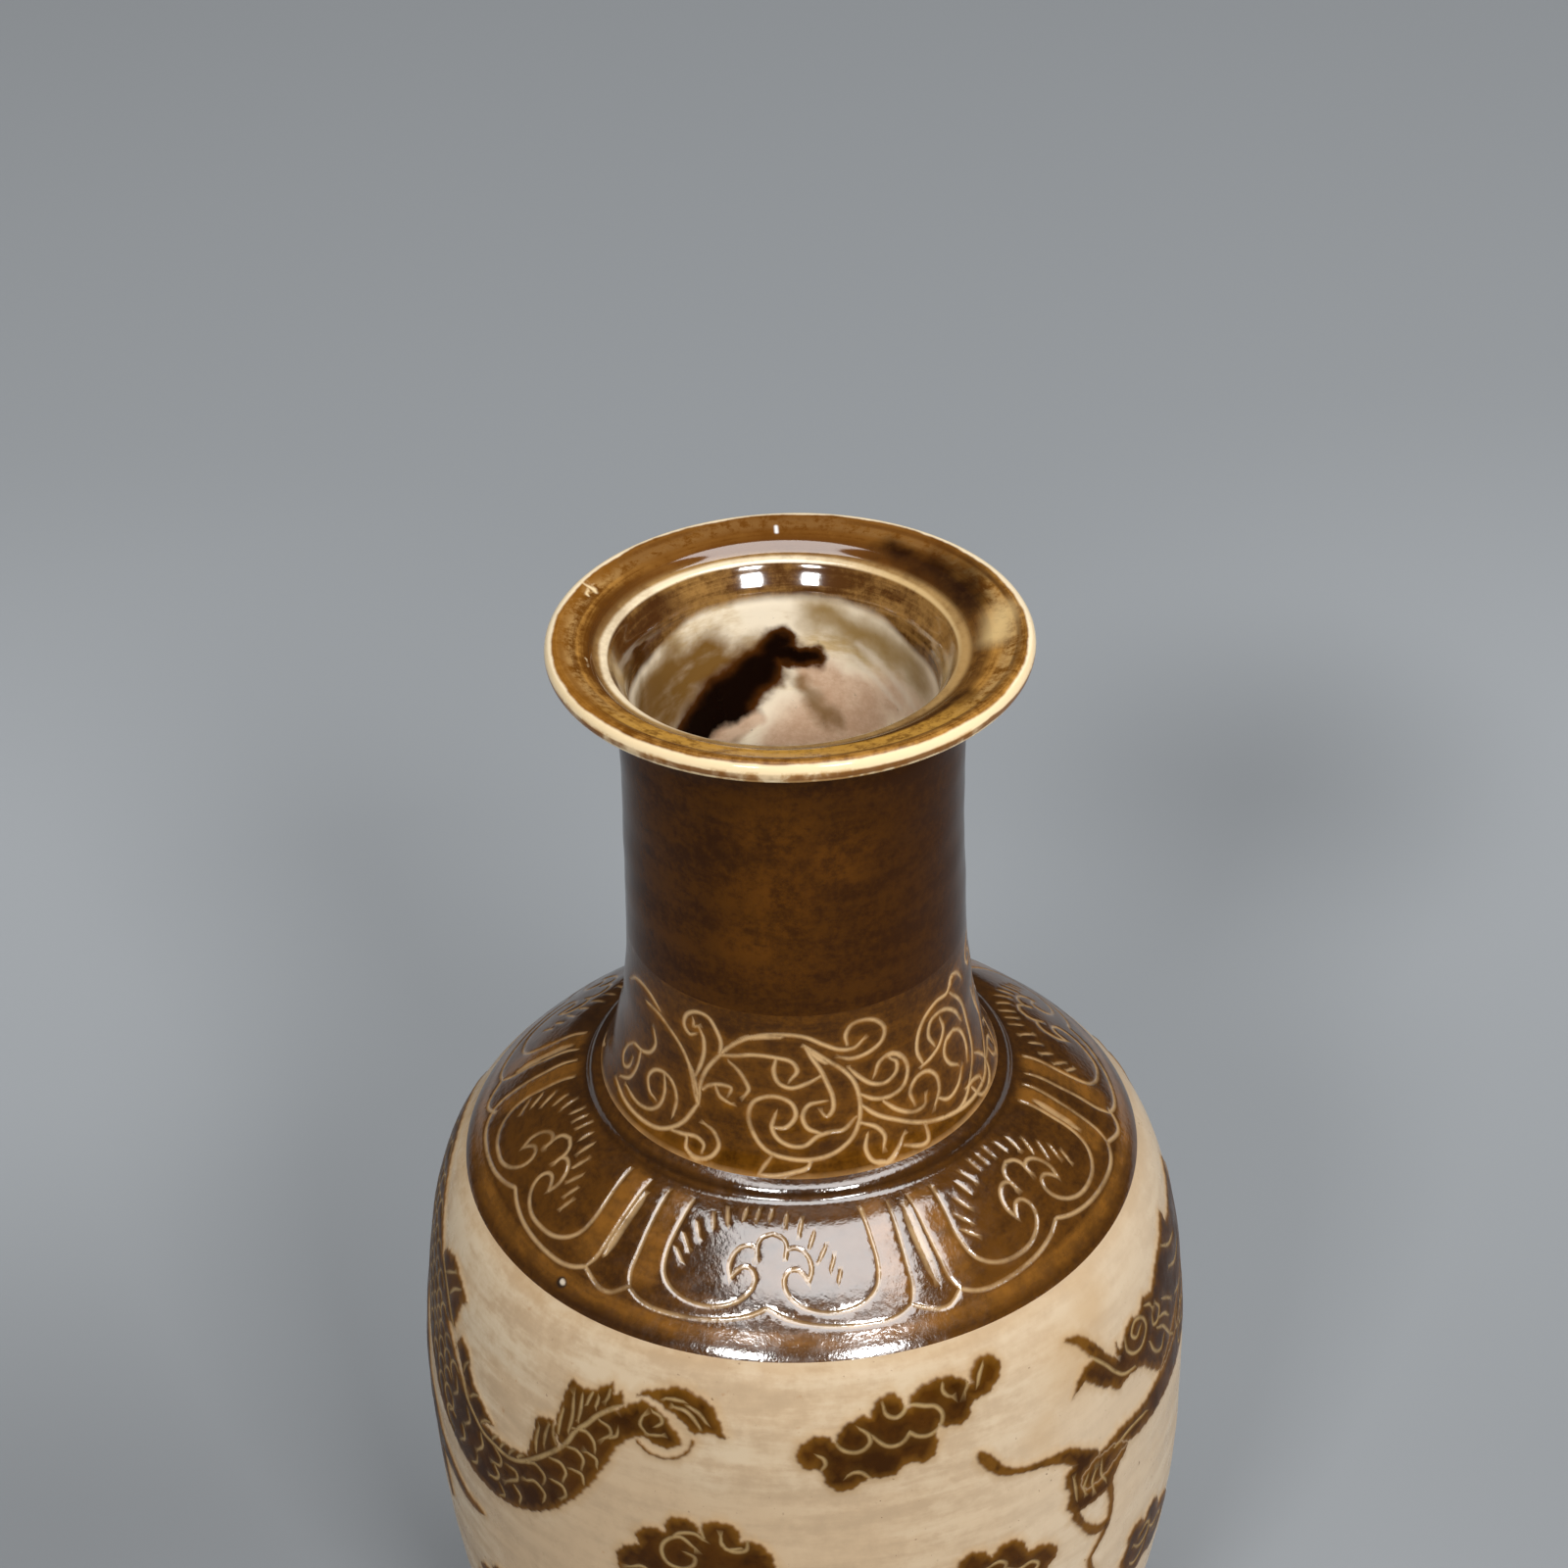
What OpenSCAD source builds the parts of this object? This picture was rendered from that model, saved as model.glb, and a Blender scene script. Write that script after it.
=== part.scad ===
// Stoneware bottle with a dished flat mouth, a straight neck and carved, two-tone glaze.
// The origin is at the middle of the foot ring, +Z is up and the front faces -Y.

/* [Body] */
// Height from the foot ring to the edge of the shoulder
body_h = 199; // [150:1:240]
// Widest diameter
body_d = 174; // [140:1:210]
// Height of the widest place
widest_h = 133; // [105:1:160]
// Diameter of the body just above the foot ring
base_d = 110; // [80:1:135]
// Outside diameter of the foot ring
foot_d = 105; // [75:1:130]
// Height of the foot ring
foot_h = 6; // [4:0.5:8]
// Thickness of the body wall
wall = 5.5; // [4:0.1:7]

/* [Shoulder] */
// Diameter where the shoulder meets the body
shoulder_d = 151; // [120:1:185]
// Height of the shoulder, from its edge to the collar
shoulder_h = 20; // [15:1:26]
// Diameter at the foot of the collar
collar_d = 93; // [75:1:115]
// Height of the rolled collar
collar_h = 3; // [2:0.1:4]

/* [Neck] */
// Height from the collar to the top of the mouth
neck_h = 108; // [85:1:135]
// Diameter of the straight neck
neck_d = 72; // [58:1:88]
// Height over which the neck spreads to the collar
flare_h = 30; // [22:1:38]
// Diameter at the foot of the spread
flare_d = 87; // [70:1:105]
// Inside diameter of the neck
bore_d = 64; // [50:1:78]

/* [Mouth] */
// Outside diameter of the mouth
mouth_d = 100; // [80:1:120]
// Thickness of the rounded lip
lip_t = 4; // [3:0.1:5]
// Diameter of the raised ring round the throat
ring_d = 74; // [60:1:90]
// Drop from the top of the lip to the raised ring
dish = 3.7; // [2.5:0.1:5]

/* [Carving] */
// Number of lappets round the shoulder
lappets = 6; // [4:1:8]
// Depth of the carved lines
line_depth = 0.4; // [0.3:0.05:0.6]
// Half the width of the carved lines
line_w = 0.55; // [0.4:0.05:0.8]
// How far the dragon and the clouds stand out
relief = 0.6; // [0.4:0.05:1]

/* [Hidden] */
$fn = 96;
glaze = "saddlebrown";

// Levels and radii
collar_z = body_h + shoulder_h;
line_z = collar_z + collar_h;
top_z = collar_z + neck_h + collar_h;
flare_z = line_z + flare_h;
lip_r = lip_t / 2;
body_r = body_d / 2;
edge_r = shoulder_d / 2;
collar_r = collar_d / 2;
floor_z = foot_h + wall + 1;

// Outside of the body below and above its widest place
function body_out(z) = z < widest_h
    ? base_d / 2 + (body_r - base_d / 2) * (1 - pow((widest_h - z) / (widest_h - foot_h), 2))
    : edge_r + (body_r - edge_r) * (1 - pow((z - widest_h) / (body_h - widest_h), 2.8));
// Drop of the shoulder below the collar, t runs from 0 at the collar to 1 at the edge
function shoulder_pt(t) = [collar_r + (edge_r - collar_r) * t, collar_z - shoulder_h * pow(t, 1.42)];
// Radius of the neck, spreading towards the collar
function neck_out(z) = z > flare_z ? neck_d / 2
    : neck_d / 2 + (flare_d - neck_d) / 2 * pow((flare_z - z) / flare_h, 2.1);

// The plain outline from the neck down to the foot, as [radius, height]
outline = concat(
    [[neck_d / 2, flare_z + 12]],
    [for (i = [0:6]) let (z = flare_z - flare_h * i / 6) [neck_out(z), z]],
    [for (i = [0:8]) shoulder_pt(i / 8)],
    [for (i = [1:8]) let (z = body_h - (body_h - widest_h) * i / 8) [body_out(z), z]],
    [for (i = [1:12]) let (z = widest_h - (widest_h - foot_h) * i / 12) [body_out(z), z]]);
// Top of the mouth from the flat part in to the raised ring, then down the throat to the bore
rim_w = (mouth_d - ring_d) / 2;
throat_w = (ring_d - bore_d) / 2;
dished = concat(
    [for (p = [[0.5, 0.4], [0.34, 0.56], [0.25, 0.7], [0.11, 1.05]])
        [ring_d / 2 + rim_w * p.x, top_z - dish * p.y]],
    [for (p = [[0.82, 0.75], [0.6, 1.85], [0.44, 3.4], [0.18, 4.9], [0.04, 7.3], [0, 8.3]])
        [bore_d / 2 + throat_w * p.x, top_z - dish - p.y]]);
LAST = len(outline) - 1;
run = [for (i = 0, t = 0; i <= LAST;
            t = t + (i < LAST ? norm(outline[i + 1] - outline[i]) : 0), i = i + 1) t];
r_along = [for (i = [0:LAST]) [run[i], outline[i].x]];
z_along = [for (i = [0:LAST]) [run[i], outline[i].y]];
shelf = norm([collar_h, collar_h]);
collar_run = run[8] - shelf;
edge_run = run[16];
line_run = run[7] - shelf;
shoulder_run = edge_run - collar_run;

// A point on the outline at distance s down from its start, moved out by h
function along(s, h = 0) = let (
        a = [lookup(s - 1, r_along), lookup(s - 1, z_along)],
        b = [lookup(s + 1, r_along), lookup(s + 1, z_along)],
        t = (b - a) / norm(b - a))
    [lookup(s, r_along) - t.y * h, lookup(s, z_along) + t.x * h];
// The same point turned to an angle round the bottle, 0 at the front
function round_at(a, s, h = 0) = let (p = along(s, h)) [p.x * sin(a), -p.x * cos(a), p.y];

// Direction across a path at its point i, in [angle, distance] for 1 mm
function across(path, i) = let (
        n = len(path) - 1,
        a = path[max(i - 1, 0)], b = path[min(i + 1, n)],
        k = lookup(path[i].y, r_along) * PI / 180,
        d = [(b.x - a.x) * k, b.y - a.y],
        l = norm(d))
    [d.y / l / k, -d.x / l];

// Solid between cross-sections that have the same number of corners
module loft(sections) {
    k = len(sections[0]);
    n = len(sections) - 1;
    polyhedron(
        points = [for (s = sections) for (p = s) p],
        faces = concat(
            [for (i = [0:n - 1]) for (j = [0:k - 1]) let (m = (j + 1) % k)
                each [[i * k + j, i * k + k + j, i * k + k + m],
                    [i * k + j, i * k + k + m, i * k + m]]],
            [for (j = [1:k - 2]) [0, j, j + 1]],
            [for (j = [1:k - 2]) [n * k, n * k + j + 1, n * k + j]]));
}

// V-shaped cut along a path of [angle, distance], with one width
module line(path, w = line_w, d = line_depth) {
    loft([for (i = [0:len(path) - 1]) let (p = path[i], c = across(path, i) * w)
        [round_at(p.x + c.x, p.y + c.y, 0.2), round_at(p.x - c.x, p.y - c.y, 0.2),
         round_at(p.x, p.y, -d)]]);
}

// Flat outline of [angle, mm] points round a middle angle, drawn on the plane that faces that angle
function faced(a, edge) = [for (p = edge) let (q = along(p.y)) [q.x * sin(p.x - a), q.y]];
// Upright block behind that outline, from near the axis out past the surface
module block(a, edge) {
    rotate([90, 0, a]) translate([0, 0, 25]) linear_extrude(body_r) polygon(faced(a, edge));
}

// Outline of a band along a path of [angle, distance, half width]
function sides(path) = concat(
    [for (i = [0:len(path) - 1]) let (c = across(path, i) * path[i].z)
        [path[i].x + c.x, path[i].y + c.y]],
    [for (i = [len(path) - 1:-1:0]) let (c = across(path, i) * path[i].z)
        [path[i].x - c.x, path[i].y - c.y]]);
// Angle halfway between the ends of a path, which its block faces
function mean_angle(path) = (path[0].x + path[len(path) - 1].x) / 2;

// One lappet's right half, as [share of the half pitch, share of the shoulder's run]
lobe = [[0.01, 0.755], [0.1, 0.8], [0.25, 0.835], [0.45, 0.85], [0.66, 0.84], [0.78, 0.825],
    [0.85, 0.79]];
link = [[0.84, 0.785], [0.91, 0.835], [1, 0.86], [1.09, 0.835], [1.16, 0.785]];
side = [[0.85, 0.8], [0.88, 0.67], [0.895, 0.5], [0.9, 0.3], [0.905, 0.09]];
volute = [[0.68, 0.09], [0.7, 0.26], [0.7, 0.42], [0.68, 0.55], [0.6, 0.66], [0.48, 0.72], [0.35, 0.73],
    [0.22, 0.69], [0.13, 0.61], [0.11, 0.52], [0.15, 0.47], [0.21, 0.48], [0.26, 0.53]];
fringe = [[0.255, 0.525], [0.27, 0.44], [0.23, 0.37], [0.15, 0.34], [0.1, 0.42]];
crown = [[0.105, 0.36], [0.08, 0.31], [0, 0.265]];
// Short strokes round the top of a lappet, each from its first point to its second
dashes = [[[-0.65, 0.49], [-0.58, 0.55]], [[-0.64, 0.4], [-0.57, 0.47]], [[-0.58, 0.32], [-0.52, 0.39]],
    [[-0.48, 0.25], [-0.44, 0.33]], [[-0.38, 0.21], [-0.35, 0.29]], [[-0.23, 0.18], [-0.24, 0.25]],
    [[-0.13, 0.17], [-0.14, 0.24]], [[-0.03, 0.17], [-0.04, 0.24]], [[0.09, 0.19], [0.08, 0.27]],
    [[0.21, 0.23], [0.19, 0.31]], [[0.3, 0.3], [0.26, 0.4]], [[0.38, 0.39], [0.32, 0.47]],
    [[0.43, 0.46], [0.39, 0.52]], [[0.46, 0.53], [0.43, 0.59]]];

// One lappet's lines about the angle a, with the wide cut between it and the next one
module lappet(a) {
    half = 180 / lappets;
    for (path = dashes) line([for (p = path) [a + p.x * half, collar_run + p.y * shoulder_run]]);
    line([for (t = [0.27, 0.66]) [a + half - t, collar_run + t * shoulder_run]], 1);
    for (m = [-1, 1]) for (path = [lobe, side, volute, fringe, crown])
        line([for (p = path) [a + m * p.x * half, collar_run + p.y * shoulder_run]]);
    line([for (p = link) [a + p.x * half, collar_run + p.y * shoulder_run]]);
}

// Scroll round the foot of the neck, as strokes of [angle, mm below the amber line]
scroll_middle = [
    [[-33, -14], [-33, -18], [-31, -22], [-27, -26], [-24, -28.5], [-18, -31.7], [-12, -33.4],
     [-5, -33.9], [2, -33.2], [8, -31], [13, -29.3], [18, -29], [21, -30.4]],
    [[15.7, -30.2], [15.3, -32.5], [17.5, -34.8], [21.5, -35.3], [26, -34.3], [29, -31.7], [28, -29],
     [23.5, -27.2], [17, -26.6], [13, -27.4]],
    [[-26.5, -26.5], [-21, -27.3], [-15, -28.3], [-8, -28.2], [-2.5, -27.2], [-0.8, -25], [-3, -22.8]],
    [[-7.6, -27.6], [-8.3, -24.8], [-6.8, -22], [-3, -20.8], [2, -21.8], [6, -23.2]],
    [[2, -31], [8.5, -27.3], [13.5, -24.5], [17, -21.3], [18.7, -17], [18.3, -12.5], [15.5, -8.3],
     [10, -5.4], [3, -4.2], [-4, -4.6], [-10, -6], [-14, -9.2], [-16.2, -13.5], [-14.5, -17],
     [-8.5, -18.6], [-3, -17.2], [-1.5, -14.3], [-4.5, -11.6]],
    [[-7.8, -10], [-4.4, -7.9], [0, -7.3], [4, -8.8], [7.5, -10.1], [12, -10.2], [16.2, -11.8]],
    [[9, -22], [10.2, -18.5], [10, -15.5], [7.4, -13.9]],
    [[7, -17.2], [2.2, -16.2], [0.3, -14], [2, -11.7], [6, -10.3]],
    [[-26.6, -26.6], [-26, -29.5], [-27.8, -32.4], [-31, -35], [-35.5, -35], [-39.5, -33.4],
     [-40.3, -30.8], [-38, -29]],
    [[-33, -13.5], [-35, -10.8], [-37, -8.3], [-40.5, -5.7], [-46, -3.4], [-54, -2.7], [-63, -3],
     [-71, -4.2]],
    [[-35.6, -4.8], [-35, -2.3], [-31.5, -1.1], [-27, -2.2], [-24.8, -5.3], [-27, -8.2], [-30, -9.2]]];
scroll_left = [
    [[-34.5, -15.5], [-37, -20.5], [-40, -23.8], [-44, -26.2], [-50, -28.5], [-56, -29.6]],
    [[-52, -30.3], [-58, -32.2], [-64, -32.6], [-70, -31.6], [-75, -29.2]],
    [[-41.7, -8], [-41.2, -12], [-43.8, -15.3], [-48, -16.3], [-52.5, -15.2], [-54.4, -12.5],
     [-52.5, -9.8]]];
scroll_right = [
    [[16, -24.4], [19.5, -21.5], [23.5, -19.2], [28, -18.5], [32, -20], [31, -22.6]],
    [[24.5, -21.3], [26.5, -24], [31, -24.8], [35, -22.8], [36.4, -19.6], [34.5, -16.3], [29.5, -15],
     [23.5, -15.6], [19.5, -17.3]],
    [[19, -15], [23.5, -12], [30, -9.2], [38, -6.2], [46, -4.3], [54, -3.4], [60, -5], [65, -8],
     [69, -11.5], [70.5, -16], [69.5, -21], [66.5, -25.5], [61, -29.5]],
    [[26.7, -14.2], [31, -11.3], [36.5, -9.3], [40.7, -9.6]],
    [[37, -11], [36.2, -14], [39.3, -16.3], [44, -16.5], [47.5, -14.2], [47.5, -11], [44.5, -8]],
    [[46.2, -9.2], [50.5, -7.4], [56, -8.3], [60, -11]],
    [[58.5, -12.4], [54.6, -14.4], [53.3, -17.2], [55.8, -20.2], [60.5, -20.4], [64.8, -18],
     [66, -14.5], [64, -11]],
    [[43, -18.7], [41, -22.5], [42.3, -26.3], [46, -29.3], [52, -31], [59, -30.8], [62, -33.5],
     [67, -32.3], [70.5, -29.5]],
    [[49.5, -21.7], [46.8, -24.4], [48.5, -27.3], [52.5, -27.6], [55, -25], [53.5, -21.6], [49.5, -19]],
    [[19, -10.8], [23, -9.2], [25.2, -6.6], [24, -4.2]],
    [[20, -8], [19, -4.8], [21, -2], [25, -1.3], [29.5, -3.2], [31.5, -5.8]]];

module scroll(strokes, turn) {
    for (path = strokes)
        line([for (p = path) [p.x + turn, line_run + p.y * flare_h / 30]], line_w * 0.8);
}

// Dragon and clouds on the body, as [angle, mm below the shoulder's edge, half width]
dragon = [[-27, 20, 2.5], [-30.5, 24, 3.4], [-33, 31, 4.2], [-37, 39, 5.2], [-43, 46, 7],
    [-50, 50, 8.6], [-58, 50, 9.3], [-65, 45.5, 10], [-71, 38, 10.5], [-77, 29, 10.8],
    [-84, 20.5, 10.8], [-94, 15, 10.8], [-106, 16, 10.8], [-116, 23, 11], [-125, 34, 11],
    [-134, 45, 11.3], [-145, 53, 11.5], [-157, 54, 11.5], [-168, 46, 11.5], [-178, 35, 11.5],
    [-189, 26, 11.3], [-201, 23, 11], [-213, 28, 11], [-223, 37, 10.8], [-233, 46, 10.5],
    [-244, 50, 10], [-255, 48, 9.5], [-266, 43, 9], [-276, 41, 8], [-286, 44, 6.5], [-294, 46.5, 4.5],
    [-302, 47.3, 3.4], [-308, 46.5, 3.2], [-313, 48.5, 3.6], [-317, 50, 2]];
tail = [[-29, 17], [-26.5, 13], [-24, 10], [-20.5, 8.2], [-17, 8.4], [-14.3, 10.2], [-12.7, 13],
    [-12, 17.2], [-14.5, 16.8], [-17, 17.5], [-17.8, 20], [-19.5, 22.3], [-22, 23.6], [-25, 22.8],
    [-29, 21.5]];
head = [[49.5, 29], [50.5, 25.5], [53.5, 25], [55, 21.3], [57.5, 19.6], [60, 20.8], [62, 18.7],
    [65, 20], [68, 17], [72, 14.8], [77, 11.5], [78, 15.5], [84, 14.5], [91, 12], [90, 18], [97, 21],
    [92, 25], [96, 32], [90, 40], [80, 41], [72, 42], [65, 42.5], [61.5, 38], [58.5, 34], [55, 32.8],
    [52, 33]];
jaw = [[42.6, 25.5], [43.6, 22.2], [45.8, 20.3], [48.3, 20.8], [50, 24], [52, 28.5], [51, 30.5],
    [48.7, 29.3], [47, 26.8], [45, 24.2]];
paw = [[39.7, 44], [42, 43], [46, 45.5], [51, 46.5], [53.5, 50], [50.5, 54], [49, 56.8], [45, 57.3],
    [41, 56.5], [39.5, 53.5], [40.2, 50], [39.3, 47]];
limbs = [
    [[44.6, 12.8, 0.6], [46.4, 15, 1.1], [48.4, 18.5, 1.5], [50.3, 22.5, 1.7], [52.5, 27, 1.8]],
    [[45.5, 46.5, 2.6], [42.6, 42.5, 2.4], [39.8, 39.2, 1.9], [36, 37.7, 1.1], [31, 36, 0.9],
     [28.5, 34, 1.3], [26.6, 30.8, 1.6], [25, 27.3, 0.7]],
    [[41, 56.5, 0.9], [43, 62, 1], [45.6, 66.5, 1.4], [48.2, 67.5, 1]],
    [[48.7, 56, 1], [49.4, 62, 1], [48.8, 67, 1.1], [46.6, 71.5, 1], [44.8, 74.7, 0.9], [45.6, 80, 1.1],
     [47, 87, 0.9]],
    [[-89, 24, 6], [-86, 42, 5], [-79, 57, 4.2], [-73, 66.5, 3.6], [-67, 69.5, 2.4], [-61.5, 71.5, 1.6],
     [-56.5, 70.6, 0.5]],
    [[-76, 63, 3], [-74, 70, 2.6], [-71.5, 77, 2], [-70, 83, 0.7]],
    [[-161, 60, 5.5], [-168, 70, 4], [-176, 75, 3], [-183, 73, 1.8], [-188, 76, 0.6]],
    [[-172, 73, 2.6], [-175, 80, 2], [-179, 87, 0.7]],
    [[118, 52, 5.5], [113, 64, 4], [104, 71, 3], [96, 69, 1.8], [91, 72, 0.6]],
    [[108, 69, 2.6], [105, 77, 2], [100, 84, 0.7]]];
// Pointed fins along the dragon's back, near its tail
fins = [
    [[-72, 13.5], [-70, 12.5], [-66.5, 14], [-62.7, 16.8], [-64.5, 20], [-65, 23.5], [-67, 32],
     [-75, 28]],
    [[-61, 27], [-59.8, 28], [-59.5, 31], [-58, 34], [-55.5, 36.5], [-52.2, 39.4], [-54, 45],
     [-62, 43], [-64.5, 30], [-63, 26.5]],
    [[-42, 27.2], [-40.8, 26.6], [-39.8, 30], [-39.5, 35], [-38, 40], [-42, 44], [-45, 42],
    [-43.6, 33], [-43.2, 28]],
    [[-34.5, 14], [-33.3, 14.4], [-31.8, 12.4], [-30.2, 11], [-28, 12.6], [-27, 18], [-31, 26],
     [-36, 33], [-38.6, 29], [-38.2, 20], [-37.2, 14.4], [-36.2, 13.8]]];
// Clouds, as [angle, mm] from their middles
cloud_low = [[-10.8, 0], [-9.3, -2.7], [-6.8, -3.7], [-4.7, -2.3], [-4, -5.5], [-1.8, -7.5],
    [0.8, -6.9], [3, -7.7], [6, -7.7], [9.3, -6.3], [10.2, -4], [9.9, 1.5], [8.3, 5.7], [5, 6],
    [2, 7.5], [-1.5, 8.7], [-4, 10.3], [-6, 8.9], [-7, 5.5], [-9, 4.3], [-10.6, 2.8]];
cloud_high = [[-10.2, -0.5], [-9.8, -3.5], [-8, -4.7], [-6, -3.8], [-4.8, -2.7], [-3, -4.9],
    [0, -5.5], [3, -4.6], [5, -3.1], [6.3, -5.6], [8.3, -6.5], [10.2, -4.5], [9.8, -1.2], [7.5, 1.5],
    [5, 2.5], [3.8, 5.3], [1.5, 6.5], [-1, 6.3], [-3, 3.5]];
cloud_wide = [[-11.3, 6.5], [-11.3, 3.5], [-9.5, -0.5], [-7.8, -1.5], [-7.9, -4.7], [-5.7, -7],
    [-3.8, -7], [-3.3, -10], [-1.8, -11.6], [0.6, -11.3], [1.4, -9.2], [2.4, -11.7], [5, -12.2],
    [6.8, -11], [7.4, -8], [9.5, -7.6], [11.4, -5], [12, -1], [11.5, 3.5], [9, 7.5], [5.5, 8.5],
    [4, 11.5], [0, 13], [-3.5, 10.8], [-7, 12], [-10, 10]];
cloud_round = [[-7.2, -5], [-7, -8], [-5, -10], [-2.8, -9], [-1.7, -6.6], [-0.5, -8.8], [1.8, -9],
    [3.8, -6.7], [4.4, -3.6], [7, -3], [9.3, -1], [9.8, 2.2], [8.3, 4.5], [6.5, 7.5], [3, 8.5],
    [0, 7], [-3.5, 8], [-6.5, 5.5], [-8.5, 2], [-8.7, -2]];
// Where each kind of cloud stands
lows = [[9, 19.5], [141, 89], [-164, 11], [-98, 71]];
wides = [[-17, 51], [158, 78], [-124, 74], [92, 100], [-52, 96]];
rounds = [[28, 63], [62, 89], [172, 56.5], [-140, 13], [117, 15], [3, 107], [-147, 106]];

// Body drawing's own length, which is stretched to the length of the body
drawn = 210;
stretch = (run[LAST] - edge_run) / drawn;
function on_body(p) = [p.x, edge_run + p.y * stretch];

// Block of a cloud with its middle at a point of the body
module cloud(middle, edge) {
    block(middle.x, [for (p = edge) on_body(middle + p)]);
}
// Part of a path, placed on the body
function piece(path, i, j) = [for (k = [i:j]) concat(on_body(path[k]), path[k].z)];
// Block of a leg, a claw or a whisker
module limb(path) { block(mean_angle(path), sides([for (p = path) concat(on_body(p), p.z)])); }

// Blocks of the dragon, in short lengths that each face outwards
module creature() {
    for (i = [0:3:30]) let (q = piece(dragon, i, min(i + 4, 34))) block(mean_angle(q), sides(q));
    for (path = limbs) limb(path);
    block(-20, [for (p = tail) on_body(p)]);
    block(70, [for (p = head) on_body(p)]);
    block(48, [for (p = jaw) on_body(p)]);
    block(46, [for (p = paw) on_body(p)]);
    for (edge = fins) block(edge[0].x, [for (p = edge) on_body(p)]);
}

// Blocks of the clouds
module clouds() {
    for (p = lows) {
        cloud(p, cloud_low);
        cloud(p + [11, -7], cloud_high);
    }
    for (p = wides) cloud(p, cloud_wide);
    for (p = rounds) cloud(p, cloud_round);
}

// Layer on the body that the raised shapes are cut from
module layer(h) {
    rotate_extrude() polygon(concat(
        [for (i = [16:LAST - 2]) along(run[i], h)],
        [for (i = [LAST - 2:-1:16]) along(run[i], -1.2)]));
}

// Wall of the bottle, turned about its axis
module turned_wall() {
    inside = [for (i = [2:LAST]) let (s = run[i]) along(s, -wall)];
    body_in = [for (p = inside) if (p.y > floor_z + 4 && p.y < flare_z - 4 && p.x > bore_d / 2) p];
    // Foot of the bore, for a neck that spreads too little to open the inside above the collar
    bore_foot = [if (body_in[0].y < collar_z) [bore_d / 2 + 0.4, body_in[0].y]];
    rotate_extrude() polygon(concat(
        [[0, foot_h - 1], [foot_d / 2 - 8, foot_h - 1.5], [foot_d / 2 - 7, 0], [foot_d / 2 - 1, 0],
         [foot_d / 2, 1], [foot_d / 2, foot_h - 1.2]],
        [for (i = [LAST:-1:16]) outline[i]],
        [[edge_r + 0.4, body_h + 0.5], [edge_r - 0.1, body_h + 1.7],
         [edge_r - 1.4, body_h + 2.7]],
        [for (i = [14:-1:9]) outline[i]],
        [[collar_r + 0.6, collar_z - 0.1], [collar_r + 0.4, collar_z + 1],
         [collar_r - 0.5, collar_z + 2.1], [collar_r - 1.8, collar_z + 2.8]],
        [for (i = [7:-1:0]) outline[i]],
        [[neck_d / 2, top_z - 13], [neck_d / 2 + 1, top_z - 10.5], [neck_d / 2 + 4.5, top_z - 7.5],
         [mouth_d / 2 - 5, top_z - lip_t - 1.5]],
        [for (a = [-90:22.5:112.5]) [mouth_d / 2 - lip_r + lip_r * cos(a), top_z - lip_r + lip_r * sin(a)]],
        dished,
        [[bore_d / 2 + 0.4, flare_z - 2]],
        bore_foot,
        body_in,
        [[base_d / 2 - wall - 3, floor_z], [0, floor_z + 0.5]]));
}

module bottle() {
    color(glaze) difference() {
        union() {
            turned_wall();
            intersection() {
                union() {
                    creature();
                    clouds();
                }
                layer(relief);
            }
        }
        for (i = [0:lappets - 1]) lappet(i * 360 / lappets - 7);
        for (a = [0, 118, 240]) scroll(scroll_middle, a);
        scroll(scroll_left, 0);
        for (a = [0, 118]) scroll(scroll_right, a);
    }
}

bottle();
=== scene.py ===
import math

import bmesh
import bpy
import numpy as np
from mathutils import Matrix, Vector, kdtree
from mathutils.geometry import delaunay_2d_cdt


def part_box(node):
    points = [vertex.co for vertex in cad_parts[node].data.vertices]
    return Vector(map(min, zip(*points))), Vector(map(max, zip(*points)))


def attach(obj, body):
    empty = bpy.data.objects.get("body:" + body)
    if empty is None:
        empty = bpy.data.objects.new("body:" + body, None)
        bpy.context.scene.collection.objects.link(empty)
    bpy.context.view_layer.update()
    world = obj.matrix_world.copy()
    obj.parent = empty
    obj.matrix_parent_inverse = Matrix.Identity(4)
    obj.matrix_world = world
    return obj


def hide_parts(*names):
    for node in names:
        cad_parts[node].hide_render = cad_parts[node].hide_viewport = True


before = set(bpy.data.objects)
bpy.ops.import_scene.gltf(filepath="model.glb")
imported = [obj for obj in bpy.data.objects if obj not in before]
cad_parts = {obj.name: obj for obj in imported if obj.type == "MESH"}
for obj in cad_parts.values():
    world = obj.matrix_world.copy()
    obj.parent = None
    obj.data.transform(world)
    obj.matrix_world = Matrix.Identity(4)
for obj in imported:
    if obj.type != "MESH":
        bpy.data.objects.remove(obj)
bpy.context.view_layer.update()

bl_info = {
    "name": "Carved stoneware bottle",
    "version": (1, 0, 0),
    "blender": (4, 5, 0),
    "location": "View3D > Sidebar > Bottle",
    "description": "Makes a tall stoneware bottle with a carved brown glaze, a dragon and clouds",
    "category": "Object",
}

NODE_LOW, NODE_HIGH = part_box("bottle")
MM = 0.001
FAR = 99.0
# Where each turned surface ends, in mm along its profile from its upper edge
SCROLL_START, SHOULDER_END, BODY_END, FOOT_END = -38.5, 39.3, 122, 198.5
# The lappets on the shoulder: how many, degrees from one to the next and the first one's place
LAPPETS, LAPPET_TURN, LAPPET_FIRST = 6, 60, -7
# How far the mouth's inside lies off the axis, in mm
OFF_AXIS = 1.5

# ---------------------------------------------------------------- sizes and colours


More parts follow.
